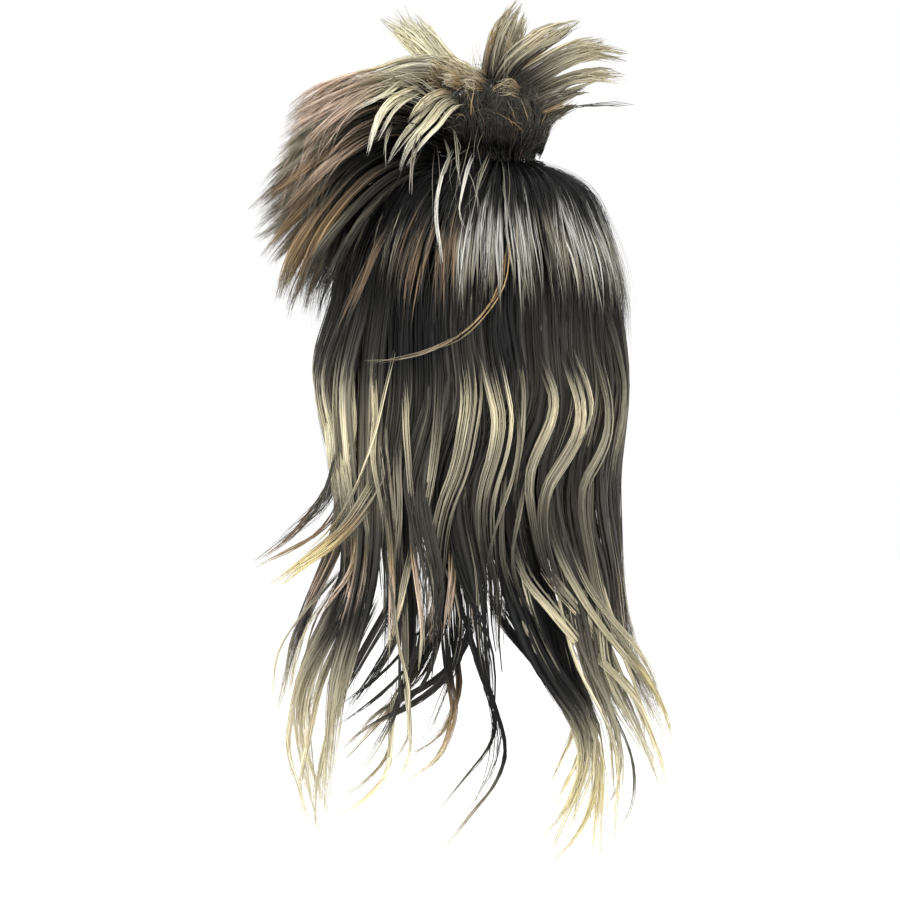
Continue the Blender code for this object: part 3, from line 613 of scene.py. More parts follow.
# Streaks lying on the long hair, as seen: chart, half width in mm, strands, guide in mm
streaks = (
    ("band", 8.4, 36, [
        (10, -91, -119), (16, -90, -147), (20, -90, -168), (17, -90, -192), (11, -91, -212),
        (8, -91, -227), (8, -91, -243), (12, -90, -272), (18, -90, -297)]),
    ("bandPink", 7.4, 32, [
        (-6, -91, -119), (-2, -91, -154), (-5, -91, -176), (-11, -91, -204), (-19, -90, -225),
        (-23, -89, -243), (-25, -89, -272), (-26, -88, -291), (-25, -89, -315), (-27, -88, -334)]),
    ("band", 6.4, 26, [
        (47, -82, -116), (53, -80, -136), (58, -78, -154), (54, -79, -174), (45, -83, -192),
        (40, -85, -207), (41, -85, -228), (47, -83, -258), (54, -79, -277), (69, -72, -300)]),
    ("band", 6.0, 24, [
        (61, -76, -115), (68, -72, -139), (73, -69, -161), (70, -71, -179), (60, -76, -197),
        (50, -81, -212), (46, -83, -231), (48, -82, -255), (56, -79, -281), (75, -67, -307)]),
    ("band", 2.0, 10, [
        (69, -71, -115), (74, -68, -135), (80, -63, -158), (79, -64, -171), (70, -71, -186),
        (58, -77, -204)]),
    ("ashBand", 4.7, 30, [
        (79, -64, -101), (87, -57, -130), (93, -49, -160), (91, -53, -180), (83, -61, -197),
        (74, -68, -213), (74, -68, -236), (78, -65, -258), (85, -58, -289), (102, -44, -320),
        (122, -34, -347), (134, -27, -382)]),
    ("ashBand", 5.4, 30, [
        (89, -48, -73), (99, -40, -114), (105, -29, -145), (102, -36, -175), (96, -45, -199),
        (99, -42, -227)]),
    ("frontBand", 5.4, 34, [
        (-99, -42, -110), (-94, -48, -142), (-90, -53, -165), (-91, -52, -189), (-87, -56, -213),
        (-83, -60, -236), (-86, -58, -262)]),
    ("frontBand", 5.4, 34, [
        (-87, -57, -118), (-83, -60, -148), (-81, -62, -175), (-85, -58, -199), (-82, -62, -223),
        (-75, -67, -246)]),
    ("frontBand", 4.7, 26, [
        (-106, -27, -103), (-103, -33, -142), (-99, -42, -168), (-94, -48, -192), (-91, -52, -216),
        (-93, -50, -237)]),
    ("frontBand", 3.4, 20, [
        (-72, -69, -122), (-68, -72, -145), (-66, -73, -168), (-68, -72, -192), (-64, -75, -213),
        (-60, -76, -236), (-62, -75, -263)]),
    ("goldBand", 1.7, 9, [
        (-53, -80, -122), (-58, -78, -145), (-64, -75, -176), (-73, -69, -201), (-80, -63, -217),
        (-91, -54, -237), (-106, -44, -254), (-124, -38, -266)]),
    ("band", 2.0, 9, [
        (-47, -83, -136), (-44, -84, -160), (-43, -84, -184), (-41, -85, -202), (-39, -85, -229),
        (-40, -85, -262)]),
    ("faint", 2.0, 10, [
        (-35, -86, -182), (-33, -87, -209), (-31, -87, -236), (-30, -88, -262), (-33, -87, -289),
        (-35, -86, -315)]),
    ("faint", 1.7, 8, [
        (28, -88, -149), (30, -88, -182), (25, -89, -209), (16, -90, -235), (10, -91, -262),
        (11, -91, -289)]),
    ("faint", 2.0, 10, [
        (-22, -89, -129), (-23, -89, -169), (-27, -88, -202), (-33, -87, -236), (-35, -86, -262),
        (-33, -87, -289)]),
    ("faint", 2.0, 10, [
        (38, -86, -209), (31, -87, -236), (27, -88, -262), (34, -87, -289), (48, -82, -309)]),
    ("faint", 2.0, 10, [
        (-52, -80, -176), (-50, -81, -209), (-49, -81, -236), (-51, -81, -262), (-54, -79, -289)]),
    ("faint", 2.0, 10, [
        (-79, -64, -209), (-72, -69, -236), (-69, -71, -263), (-76, -66, -280), (-87, -57, -291)]),
    ("pinkEnd", 2.7, 14, [
        (-64, -75, -202), (-58, -77, -236), (-55, -79, -270), (-55, -79, -288), (-56, -78, -316),
        (-58, -78, -335)]),
    ("pinkEnd", 2.3, 12, [
        (-43, -84, -236), (-39, -85, -262), (-36, -86, -289), (-34, -87, -315), (-35, -86, -336)]),
    ("pinkEnd", 3.0, 16, [
        (-83, -60, -236), (-80, -63, -259), (-86, -58, -276), (-96, -52, -289), (-108, -48, -306)]),
    ("pinkEnd", 3.0, 16, [(-75, -67, -243), (-73, -68, -266), (-80, -63, -283), (-91, -52, -299)]),
    ("beige", 4.7, 28, [
        (28, -88, -252), (38, -86, -276), (53, -80, -295), (70, -71, -317), (85, -59, -338),
        (94, -50, -359), (99, -46, -391)]),
    ("beige", 4.0, 24, [
        (53, -80, -236), (62, -75, -264), (76, -66, -291), (95, -52, -318), (114, -40, -342),
        (125, -34, -361), (132, -30, -392)]),
    ("beige", 3.0, 18, [
        (66, -73, -249), (78, -65, -282), (97, -48, -308), (116, -36, -330), (128, -30, -354),
        (135, -27, -385)]),
    ("broadBand", 8.4, 50, [
        (-105, -29, -112), (-100, -40, -144), (-97, -46, -168), (-95, -48, -192), (-92, -52, -216),
        (-87, -56, -243)]),
    ("ashBand", 4.0, 22, [
        (84, -56, -197), (80, -60, -216), (79, -60, -236), (82, -58, -255), (88, -52, -284)]),
    ("pinkEnd", 3.0, 16, [(-14, -88, -249), (-14, -88, -272), (-16, -88, -292), (-18, -87, -315)]),
    ("pinkEnd", 2.3, 12, [(-3, -88, -255), (-2, -88, -282), (1, -88, -309), (5, -88, -329)]),
    ("beige", 3.4, 18, [(-42, -82, -252), (-46, -80, -276), (-50, -78, -296), (-57, -75, -323)]),
    ("beige", 4.0, 22, [
        (45, -81, -262), (58, -75, -283), (76, -63, -304), (91, -48, -329), (103, -28, -354)]),
    ("faint", 2.7, 14, [
        (-62, -72, -155), (-60, -74, -182), (-57, -75, -209), (-54, -77, -236), (-53, -77, -260)]),
    ("faint", 2.7, 14, [
        (21, -87, -202), (18, -87, -229), (18, -87, -256), (23, -86, -282), (31, -85, -302)]),
    ("faint", 2.7, 14, [(-3, -88, -202), (-7, -88, -229), (-10, -88, -255), (-9, -88, -282)]),
    ("ashBand", 2.0, 10, [
        (31, -85, -122), (34, -84, -149), (33, -84, -176), (29, -85, -202), (26, -86, -229)]),
    ("yellow", 2.0, 10, [
        (88, -55, -264), (94, -48, -298), (103, -38, -319), (111, -32, -335), (124, -29, -354),
        (134, -27, -376), (138, -27, -398)]),
)

# Tails and curls below the shoulder line, in the same columns
tails = (
    ("palest", 1.3, 8, [
        (-88, -56, -265), (-102, -58, -284), (-117, -60, -303), (-130, -62, -323), (-135, -64, -355),
        (-138, -66, -381)]),
    ("palest", 1.3, 6, [(-97, -52, -281), (-117, -55, -318), (-124, -57, -351), (-127, -60, -385)]),
    ("leftTail", 4.0, 22, [
        (-86, -60, -290), (-103, -61, -317), (-117, -61, -344), (-123, -62, -371), (-125, -62, -392),
        (-119, -63, -412), (-115, -63, -426), (-104, -64, -455)]),
    ("leftTail", 3.4, 18, [
        (-82, -60, -297), (-94, -60, -328), (-105, -60, -358), (-111, -60, -388), (-117, -60, -419),
        (-110, -60, -446)]),
    ("leftTail", 3.0, 14, [
        (-76, -60, -304), (-90, -59, -341), (-95, -58, -365), (-101, -58, -398), (-104, -57, -422),
        (-102, -56, -444)]),
    ("darkThin", 1.0, 8, [
        (-30, -84, -316), (-35, -80, -323), (-49, -75, -340), (-68, -70, -358), (-93, -66, -376)]),
    ("darkCurl", 2.7, 18, [
        (-2, -70, -300), (-7, -68, -317), (-21, -67, -345), (-40, -65, -360), (-59, -63, -370),
        (-78, -62, -381), (-94, -60, -400)]),
    ("paleCurl", 1.7, 9, [
        (-48, -78, -289), (-46, -76, -316), (-45, -75, -344), (-43, -73, -363), (-47, -72, -406),
        (-60, -70, -420)]),
    ("paleCurl", 1.7, 9, [
        (-54, -60, -351), (-56, -58, -379), (-59, -56, -408), (-70, -54, -422), (-85, -52, -434),
        (-98, -50, -439)]),
    ("brownCurl", 3.0, 18, [
        (-19, -84, -289), (-17, -83, -320), (-14, -82, -344), (-11, -81, -361), (-15, -79, -379),
        (-23, -78, -396), (-37, -77, -407), (-51, -76, -415)]),
    ("longCurl", 2.0, 14, [
        (-12, -84, -282), (-7, -84, -301), (1, -84, -325), (10, -84, -349), (19, -84, -373),
        (22, -84, -391), (15, -84, -411), (3, -84, -426), (-11, -84, -444), (-25, -84, -462)]),
    ("darkTail", 5.4, 48, [
        (10, -72, -283), (21, -71, -308), (37, -71, -329), (55, -70, -350), (68, -69, -367),
        (78, -69, -384), (83, -68, -405), (79, -67, -429), (68, -67, -451), (51, -66, -470)]),
    ("darkTail", 3.7, 30, [
        (18, -66, -290), (42, -65, -324), (62, -65, -351), (76, -64, -378), (84, -63, -408),
        (83, -63, -432), (79, -62, -470)]),
    ("yellowTail", 2.3, 12, [
        (59, -60, -358), (72, -62, -378), (73, -63, -391), (65, -64, -409), (53, -66, -434)]),
    ("darkThin2", 1.0, 7, [
        (76, -58, -331), (86, -57, -349), (98, -56, -373), (107, -55, -394), (110, -53, -412),
        (107, -52, -435), (98, -51, -449), (88, -50, -461)]),
    ("rightTail", 4.0, 22, [
        (52, -70, -283), (60, -66, -300), (76, -61, -321), (97, -57, -342), (116, -53, -366),
        (123, -49, -385), (131, -44, -407), (134, -40, -434)]),
    ("rightTail", 3.0, 16, [
        (85, -50, -299), (104, -46, -332), (114, -43, -360), (123, -40, -384), (122, -36, -412)]),
    ("yellow", 1.7, 9, [
        (101, -40, -319), (115, -36, -338), (129, -33, -361), (137, -30, -382), (138, -26, -398)]),
    ("fillDark", 3.0, 14, [
        (-46, -78, -263), (-57, -75, -296), (-74, -72, -327), (-89, -69, -357), (-96, -66, -381)]),
    ("leftTail", 3.4, 20, [
        (-68, -62, -290), (-83, -61, -324), (-94, -60, -358), (-102, -60, -392), (-107, -59, -426),
        (-105, -58, -457)]),
    ("darkThin", 1.0, 6, [(-49, -80, -289), (-49, -79, -323), (-49, -77, -350), (-46, -76, -376)]),
    ("darkThin", 1.3, 8, [(-35, -80, -303), (-39, -77, -330), (-50, -73, -357), (-57, -70, -384)]),
    ("darkThin", 1.3, 8, [(-22, -76, -310), (-29, -73, -337), (-42, -69, -357), (-56, -66, -368)]),
    ("palest", 1.3, 8, [
        (-60, -82, -262), (-54, -81, -289), (-49, -80, -323), (-43, -80, -349), (-44, -79, -376),
        (-42, -78, -396)]),
)

streakLook = {
    "strand": 0.0009,
    "perWisp": 5,
    "soft": True,
    "gather": 0.5,
    "shortest": 0.72,
    "startSpread": 0.16,
    "sink": 0.004,
    "root": 0.15,
    "stray": 0.0012,
    "step": 0.0115,
    "jitter": 6,
    "widths": (1.1, 1, 0.8, 0.5),
}
tailLook = {
    "strand": 0.0009,
    "perWisp": 7,
    "soft": True,
    "gather": 0.6,
    "shortest": 0.82,
    "startSpread": 0.15,
    "sink": 0.003,
    "root": 0.2,
    "stray": 0.0010,
    "step": 0.012,
    "widths": (1, 0.9, 0.6, 0.15),
}


def growTable(batch, table, side, look, shift, depth=0.0012):
    # the locks of a table; on the far side each one is shifted a little
    for chart, width, count, guide in table:
        knots = np.array(guide, float) / 1000 * np.array([1, -side, 1])
        if side > 0:
            lean = chance.normal(0, shift, 2)
            knots[:, 0] += lean[0] + lean[1] * np.linspace(0, 1, len(knots))
        growLock(batch, knots, outwards, width / 1000, depth, {**look, "count": count, "chart": chart})


for sideName, side, rows in (("near", -1, nearLocks), ("far", 1, farLocks)):
    node = f"long_hair_{sideName}"
    batch = []
    longHairBody(batch, rows, side)
    strandMesh(f"{node}_body", batch, streakedHair, [node])
    batch = []
    growTable(batch, streaks, side, streakLook, 0.004)
    growTable(batch, tails, side, tailLook, 0.003)
    strandMesh(f"{node}_streaks", batch, streakedHair, [node])


# Short hair over the crown
shortHair = {
    "directions": 56,
    "layers": (  # count, strand width, flatness, strands in a wisp, share of the swell, depth
        (3, 0.0062, 0.12, 1, 0.72, 0.0004),
        (13, 0.0019, 0.25, 3, 0.90, 0.0014),
        (20, 0.0006, 0.60, 5, 0.98, 0.0024),
        (2, 0.0004, 0.60, 2, 1.04, 0.0050),
    ),
    "polars": (0.16, 0.42, 0.72, 1.0, 1.25, 1.5),  # radians down from the crown
    "footDrop": 0.097,
    "broadTip": 0.100,
    "tip": 0.106,
    "tipMore": 0.022,  # added over the ears and round the back
    "reach": 0.098,
    "lean": 9,  # degrees towards the face, over the ears
    "sway": 4,
    "looseStray": 0.0060,
    "knotOffset": 0.014,
    "swellAt": (0, 17, 30, 41, 52, 64, 80, 100),  # degrees down from the crown
    "swell": (0.011, 0.0143, 0.0203, 0.0236, 0.0203, 0.0154, 0.0134, 0.0130),
}


def shortGuide(angle, share, tipDrop, lean):
    knots = []
    for polar in shortHair["polars"]:
        offset = share * np.interp(np.degrees(polar), shortHair["swellAt"], shortHair["swell"])
        point = domePoint(angle + lean * smoothStep(0.35, 1.4, polar), polar, offset)
        point[0] += shortHair["knotOffset"] * (1 - smoothStep(0.1, 1.0, polar))
        knots.append(point)
    foot = knots[-1]
    for drop in (0.5, 1):
        knots.append(foot + np.array([0, 0, -(tipDrop - shortHair["footDrop"]) * drop]))
    return knots


def shortChart(angle):
    # painted silver sheen towards the back over a fainter painted grey sheen, brown ends over the ear, dark
    # over the face
    turned = min(angle, 360 - angle)
    if turned > 92:
        return "greySheenTop", "silverSheenTop", 0.62
    if turned > 70:
        return "brownTop", "greySheenTop", 0.35
    return "darkTop", "greySheenTop", 0.15


batch = []
for k in range(shortHair["directions"]):
    angle = 360 * (k + 0.5) / shortHair["directions"]
    chart, light, lightShare = shortChart(angle)
    turned = min(angle, 360 - angle)
    tipDrop = shortHair["tip"] + shortHair["tipMore"] * smoothStep(30, 75, turned) * chance.uniform(0.5, 1)
    width = radians(360 / shortHair["directions"]) / 2 * shortHair["reach"]
    forward = shortHair["lean"] * smoothStep(15, 50, turned) * (1 - smoothStep(80, 120, turned))
    lean = -forward if angle < 180 else forward
    look = {
        "chart": chart,
        "light": light,
        "lightShare": lightShare,
        "widthAt": (0, 0.25, 0.6, 1),
        "widths": (0.3, 0.6, 1.0, 1.0),
        "shortest": 0.60,
        "startSpread": 0.08,
        "step": 0.0135,
        "stray": 0.0022,
        "gather": 0.85,
        "jitter": 8,
        "tip": 0.08,
    }
    for count, strand, flat, perWisp, level, depth in shortHair["layers"]:
        mixed = {**look, "count": count, "strand": strand, "flat": flat, "perWisp": perWisp}
        if perWisp == 1:  # broad dark strands under the rest
            mixed = {**mixed, "light": "", "chart": "darkTop", "shortest": 0.75}
            guide = shortGuide(angle, level, shortHair["broadTip"], lean)
        else:
            guide = shortGuide(angle, level, tipDrop, lean + chance.normal(0, shortHair["sway"]))
        if strand < 0.0005:  # loose hairs over the rest
            mixed["stray"] = shortHair["looseStray"]
        growLock(batch, guide, outwards, width, depth, mixed)
# pink-brown streaks that run from the fringe down over the temple
templeStreaks = (
    ("pinkFront", 3.4, 12, [
        (-53, -67, -31), (-63, -72, -53), (-72, -75, -76), (-82, -72, -98), (-90, -66, -121)]),
    ("pinkFront", 2.0, 7, [
        (-66, -60, -44), (-74, -62, -64), (-83, -63, -84), (-92, -60, -104), (-98, -54, -122)]),
)
for side in (-1, 1):
    growTable(batch, templeStreaks, side, streakLook, 0.003)
strandMesh("short_hair_strands", batch, darkHair, ["short_hair"])


# Tuft: its height, how far back it stands, and how far the fringe reaches from it
tuft = {"height": 0.126, "offset": 0.014, "reach": 0.153}
coreShape = {"radius": 0.037, "halfHeight": 0.030, "middle": 0.035, "footShare": 0.74, "mapScale": 120}
spikes = (
    # chart, half width in mm, tip width, guide in mm
    ("spikeBlunt", 5.6, 0.8, [
        (4, -6, 66), (-22, -7, 77), (-40, -8, 94), (-53, -10, 105), (-64, -12, 112)]),
    ("spikeBlunt", 5.6, 0.8, [(7, 0, 69), (-18, -2, 79), (-35, -4, 96), (-46, -6, 108), (-52, -8, 119)]),
    ("spikeBlunt", 5.6, 0.8, [(10, 6, 69), (-13, 5, 79), (-28, 4, 94), (-36, 3, 107), (-42, 2, 117)]),
    ("spike", 6.3, 0.5, [(11, 0, 64), (15, 1, 83), (21, 2, 105), (29, 2, 120), (34, 2, 126)]),
    ("spike", 4.9, 0.4, [(16, 8, 64), (21, 11, 83), (30, 14, 100), (35, 17, 114), (39, 20, 121)]),
    ("spike", 5.9, 0.2, [(15, -8, 60), (25, -14, 79), (41, -20, 92), (58, -22, 101), (75, -24, 106)]),
    ("spikeDark", 2.4, 0.2, [(19, -8, 60), (35, -13, 81), (51, -18, 92), (63, -20, 100), (76, -22, 107)]),
    ("spike", 7.0, 0.5, [(20, -4, 57), (42, -7, 70), (63, -10, 82), (83, -13, 89), (108, -16, 84)]),
    ("spike", 5.6, 0.4, [(20, 4, 61), (44, 7, 78), (65, 10, 90), (85, 12, 97), (96, 14, 100)]),
    ("spike", 4.9, 0.4, [(22, 4, 54), (44, 13, 63), (67, 22, 73), (91, 28, 78), (113, 34, 75)]),
    ("spikeDark", 4.9, 0.5, [(19, -12, 40), (37, -18, 46), (52, -24, 51), (67, -30, 56), (79, -36, 59)]),
    ("spikeDark", 4.2, 0.5, [(18, -10, 31), (35, -13, 34), (48, -16, 40), (62, -18, 47), (73, -20, 51)]),
    ("spike", 4.9, 0.4, [(17, 16, 61), (30, 32, 80), (44, 47, 96), (54, 60, 111)]),
    ("spikeDark", 4.9, 0.4, [(20, 20, 45), (39, 40, 50), (56, 60, 56), (67, 80, 55)]),
    ("spikeDark", 0.6, 0.6, [(47, -14, 48), (71, -18, 49), (88, -21, 50), (113, -24, 51)]),
)


def knotPoint(turn, out, height):
    angle = radians(turn)
    return np.array([tuft["offset"] - out * np.cos(angle), -out * np.sin(angle), height])


def knotSpot(turn, sway, outs, ups):
    return knotPoint(turn + chance.normal(0, sway), chance.uniform(*outs), chance.uniform(*ups))


def tuftCore():
    # dark heart of the knot, so that no light passes between its strands
    bm = bmesh.new()
    lanes = bm.loops.layers.uv.new("strandLane")
    bmesh.ops.create_icosphere(bm, subdivisions=4, radius=1, calc_uvs=True)
    for face in bm.faces:
        for loop in face.loops:
            loop[lanes].uv *= coreShape["mapScale"]
    for vertex in bm.verts:
        x, y, z = vertex.co
        narrow = coreShape["footShare"] + (1 - coreShape["footShare"]) * smoothStep(-0.9, 0.2, z)
        ripple = 1 + 0.06 * np.sin(9 * np.arctan2(y, x) + 3 * z) + 0.04 * np.sin(17 * np.arctan2(y, x))
        across, deep = coreShape["radius"] * x * narrow * ripple, coreShape["radius"] * y * narrow * ripple
        vertex.co = (tuft["offset"] + across, deep, coreShape["middle"] + coreShape["halfHeight"] * z)
    bmesh.ops.recalc_face_normals(bm, faces=bm.faces)
    mesh = bpy.data.meshes.new("crown_tuft_core")
    bm.to_mesh(mesh)
    bm.free()
    mesh.shade_smooth()
    dyeAndSheen = mesh.color_attributes.new("dyeAndSheen", "FLOAT_COLOR", "POINT")
    tone = [*(2 * linear(hairColours["black"])), 1]
    dyeAndSheen.data.foreach_set("color", np.tile(tone, len(mesh.vertices)).astype(np.float32))
    mesh.materials.append(streakedHair)
    core = bpy.data.objects.new("crown_tuft_core", mesh)
    bpy.context.collection.objects.link(core)
    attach(core, "root")
    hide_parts("crown_tuft")


spikeLayers = ((2.4, 0.0019, 0.3, 4), (6.5, 0.0006, 0.6, 8))  # strands per mm, width, flatness, in a wisp
spikeLook = {
    "light": "spikeWarm",
    "lightShare": 0.1,
    "byDrop": False,
    "shortest": 0.80,
    "startSpread": 0.08,
    "step": 0.0125,
    "stray": 0.0022,
    "gather": 0.5,
    "thinsAt": 0.75,
}
neckLook = {
    "count": 9,
    "chart": "burst",
    "light": "burstGold",
    "lightShare": 0.08,
    "byDrop": False,
    "perWisp": 3,
    "shortest": 0.6,
    "startSpread": 0.1,
    "step": 0.0095,
    "strand": 0.0012,
    "flat": 0.4,
    "stray": 0.0040,
    "gather": 0.3,
    "widths": (1, 0.9, 1.1, 1.2),
    "tip": 0.1,
}
teasedLook = {
    "count": 8,
    "chart": "burst",
    "light": "burstGold",
    "lightShare": 0.15,
    "byDrop": False,
    "perWisp": 3,
    "shortest": 0.55,
    "startSpread": 0.25,
    "step": 0.0105,
    "strand": 0.0006,
    "stray": 0.0055,
    "gather": 0.2,
    "tip": 0.1,
}
topLook = {
    **neckLook,
    "count": 14,
    "strand": 0.0008,
    "chart": "overTop",
    "light": "spikeDark",
    "lightShare": 0.35,
    "shortest": 0.7,
    "stray": 0.0055,
    "widths": (1, 1.1, 1.3, 1.2),
}
goldLook = {**teasedLook, "strand": 0.00045, "chart": "goldTease", "lightShare": 0, "stray": 0.0014}
uprightLook = {"count": 2, "strand": 0.0004, "chart": "spike", "byDrop": False, "perWisp": 1, "shortest": 0.7}
fineLook = {
    "count": 1,
    "strand": 0.00036,
    "chart": "fine",
    "byDrop": False,
    "root": 0.3,
    "startSpread": 0.2,
    "stray": 0.0006,
}
teased = {
    "directions": 84,
    "neckStrands": 60,
    "overTop": 44,
    "goldTufts": 36,
    "goldPlaces": ((-22, 40, 68), (-6, 40, 70), (8, 38, 68), (30, 36, 62), (-2, 20, 74), (-10, 28, 74)),  # mm
    "neckRings": ((0.028, 0.012), (0.035, 0.030)),  # out from the middle of the knot, up
    "neckEnd": ((0.040, 0.056), (0.046, 0.070)),  # least and most out, least and most up
    "topRings": ((0.033, 0.016), (0.0395, 0.034)),
    "topShoulder": ((0.034, 0.039), (0.050, 0.056)),
    "topEnd": ((0.012, 0.028), (0.066, 0.074)),
    "goldenAngle": 0.618,  # share of a turn from one lock to the next
    "neckFoot": (0.36, 0.0170, 0.012),  # radians down from the crown, over the head, backwards
    "roundLift": (0.0, 1.35),  # radians above level
    "roundReach": (0.050, 0.072),
    "goldLength": (0.012, 0.024),
    "uprightLength": (0.022, 0.044),
    "fineFall": (0.035, 0.085),
    "upright": 16,
    "fineHairs": 18,
}

tuftCore()
batch = []
for chart, width, tipWidth, guide in spikes:
    knots = np.array(guide, float) / 1000
    wide = width / 1000
    for perWidth, strand, flat, perWisp in spikeLayers:
        look = {**spikeLook, "chart": chart, "strand": strand, "flat": flat, "perWisp": perWisp}
        look["count"] = round(perWidth * width)
        look["widths"] = (0.8, 1, 1, tipWidth)
        if look["count"] < 2:
            continue
        growLock(batch, knots, fixedWay(0, -1, 0.2), wide, 0.8 * wide, look)

# hair drawn up through the neck of the knot and spread over it
down, over, back = teased["neckFoot"]
for k in range(teased["neckStrands"]):
    turn = 360 * (k + 0.5) / teased["neckStrands"]
    low = domePoint(turn + chance.normal(0, 5), down, over)
    low[0] += back
    knots = [
        low,
        knotPoint(turn + chance.normal(0, 4), *teased["neckRings"][0]),
        knotPoint(turn + chance.normal(0, 7), *teased["neckRings"][1]),
        knotSpot(turn, 16, *teased["neckEnd"]),
    ]
    growLock(batch, knots, outwards, 0.0030, 0.0030, neckLook)

# hair that closes over the top of the knot
for k in range(teased["overTop"]):
    turn = 360 * (k + 0.5) / teased["overTop"]
    knots = [
        knotPoint(turn + chance.normal(0, 5), *teased["topRings"][0]),
        knotPoint(turn + chance.normal(0, 9), *teased["topRings"][1]),
        knotSpot(turn, 14, *teased["topShoulder"]),
        knotSpot(turn, 30, *teased["topEnd"]),
    ]
    growLock(batch, knots, outwards, 0.0045, 0.0020, topLook)

# teased hair all round the knot
for k in range(teased["directions"]):
    turn = 360 * k * teased["goldenAngle"]
    lift = chance.uniform(*teased["roundLift"])
    reach = chance.uniform(*teased["roundReach"])
    out = reach * np.cos(lift)
    knots = [
        knotPoint(turn, 0.020, 0.018),
        knotPoint(turn + chance.normal(0, 14), 0.62 * out + 0.010, 0.028 + 0.55 * reach * np.sin(lift)),
        knotPoint(turn + chance.normal(0, 20), out, 0.030 + reach * np.sin(lift) - 0.012 * np.cos(lift)),
    ]
    growLock(batch, knots, fixedWay(0.9, -0.35, 0.25), 0.010, 0.008, teasedLook)

# golden tangles where the spikes start
for side in (-1, 1):
    for k in range(teased["goldTufts"]):
        x, y, z = teased["goldPlaces"][k % 6]
        root = np.array([x, side * (y - 8), z - 6]) / 1000 + chance.normal(0, 0.004, 3)
        way = np.array([-0.9, side * 0.4, 0.1]) + chance.normal(0, 0.3, 3)
        end = root + unit(way) * chance.uniform(*teased["goldLength"])
        middle = (root + end) / 2 + chance.normal(0, 0.0015, 3) + np.array([0, side * 0.003, 0.002])
        growLock(batch, [root, middle, end], fixedWay(0, side, 0.2), 0.005, 0.003, goldLook)

# single hairs that stand up between the spikes
for k in range(teased["upright"]):
    root = np.array([chance.uniform(-0.018, 0.030), chance.uniform(-0.02, 0.02), 0.062])
    lean = chance.normal(-0.1, 0.22)
    way = np.array([lean, chance.normal(0, 0.2), 1])
    end = root + way * chance.uniform(*teased["uprightLength"])
    middle = (root + end) / 2 + chance.normal(0, 0.003, 3)
    growLock(batch, [root, middle, end], fixedWay(0, -1, 0.2), 0.004, 0.002, uprightLook)


hairOutline = {"height": 0.124, "halfWidth": 0.097, "halfDepth": 0.116}  # short hair, metres


def besideHead(x, z):
    # how far out the short hair lies at this place in the side view
    height = (z + head["dome"]) / hairOutline["height"]
    level = max(0.1, 1 - height * height) if z > -head["dome"] else 1
    return hairOutline["halfWidth"] * np.sqrt(max(0.1, level - (x / hairOutline["halfDepth"]) ** 2))


# fine pale hairs that fall from the knot over the short hair
for side in (-1, 1):
    for k in range(teased["fineHairs"]):
        x, z = chance.uniform(-0.045, 0.035), chance.uniform(0.002, 0.040)
        root = np.array([x, side * (0.040 + 0.4 * (0.040 - z)), z])
        x, z = x + chance.normal(-0.006, 0.012), z - chance.uniform(*teased["fineFall"])
        end = np.array([x, side * (besideHead(x, z) + 0.001), z])
        middle = (root + end) / 2 + np.array([chance.normal(0, 0.006), side * 0.006, 0.004])
        growLock(batch, [root, middle, end], fixedWay(0, side, 0.2), 0.0015, 0.001, fineLook)

# bright points that hang over the knot, and loose wisps below them: chart, half width in mm,
# strands, guide in mm
points = (
    ("point", 3.7, 34, [
        (-10, -34, 54), (-22, -40, 52), (-30, -47, 41), (-41, -52, 30), (-51, -56, 17), (-58, -60, 5)]),
    ("point", 3.7, 34, [
        (-9, -36, 51), (-18, -43, 49), (-27, -50, 37), (-37, -56, 25), (-46, -60, 12), (-50, -64, -2)]),
    ("point", 2.3, 18, [
        (-7, -36, 48), (-15, -44, 45), (-24, -52, 32), (-33, -58, 22), (-41, -62, 10), (-46, -66, 0)]),
    ("pointGold", 3.4, 24, [(-14, -34, 57), (-25, -46, 54), (-36, -54, 44), (-44, -58, 34)]),
    ("point", 3.4, 26, [
        (-36, -46, 59), (-51, -60, 51), (-60, -73, 42), (-65, -82, 31), (-68, -86, 17), (-71, -90, 5)]),
    ("point", 2.0, 13, [(-34, -48, 55), (-48, -64, 44), (-55, -80, 33), (-61, -84, 22), (-65, -88, 13)]),
    ("point", 1.7, 8, [(-48, -56, 62), (-59, -71, 51), (-72, -80, 42), (-81, -84, 36)]),
    ("fine", 1.0, 3, [(-54, -80, 31), (-58, -82, 21), (-59, -84, -1)]),
    ("fine", 1.0, 2, [(-36, -60, 27), (-41, -68, 6), (-42, -76, -18), (-40, -84, -26)]),
    ("wisp", 1.3, 11, [
        (-14, -58, 14), (-21, -63, -1), (-24, -70, -14), (-25, -80, -36), (-22, -89, -57),
        (-21, -93, -66)]),
    ("fine", 0.8, 3, [(-20, -56, 25), (-15, -63, 8), (-19, -69, -2), (-26, -76, -11)]),
    ("wisp", 0.8, 4, [(2, -56, 14), (-3, -62, 1), (-7, -71, -14), (-9, -80, -31), (-5, -87, -45)]),
    ("fine", 0.8, 3, [(-13, -54, 29), (-11, -61, 14), (-10, -69, -5), (-6, -76, -22)]),
    ("fine", 0.8, 3, [(12, -56, 13), (6, -64, -2), (2, -72, -16), (1, -80, -33)]),
)
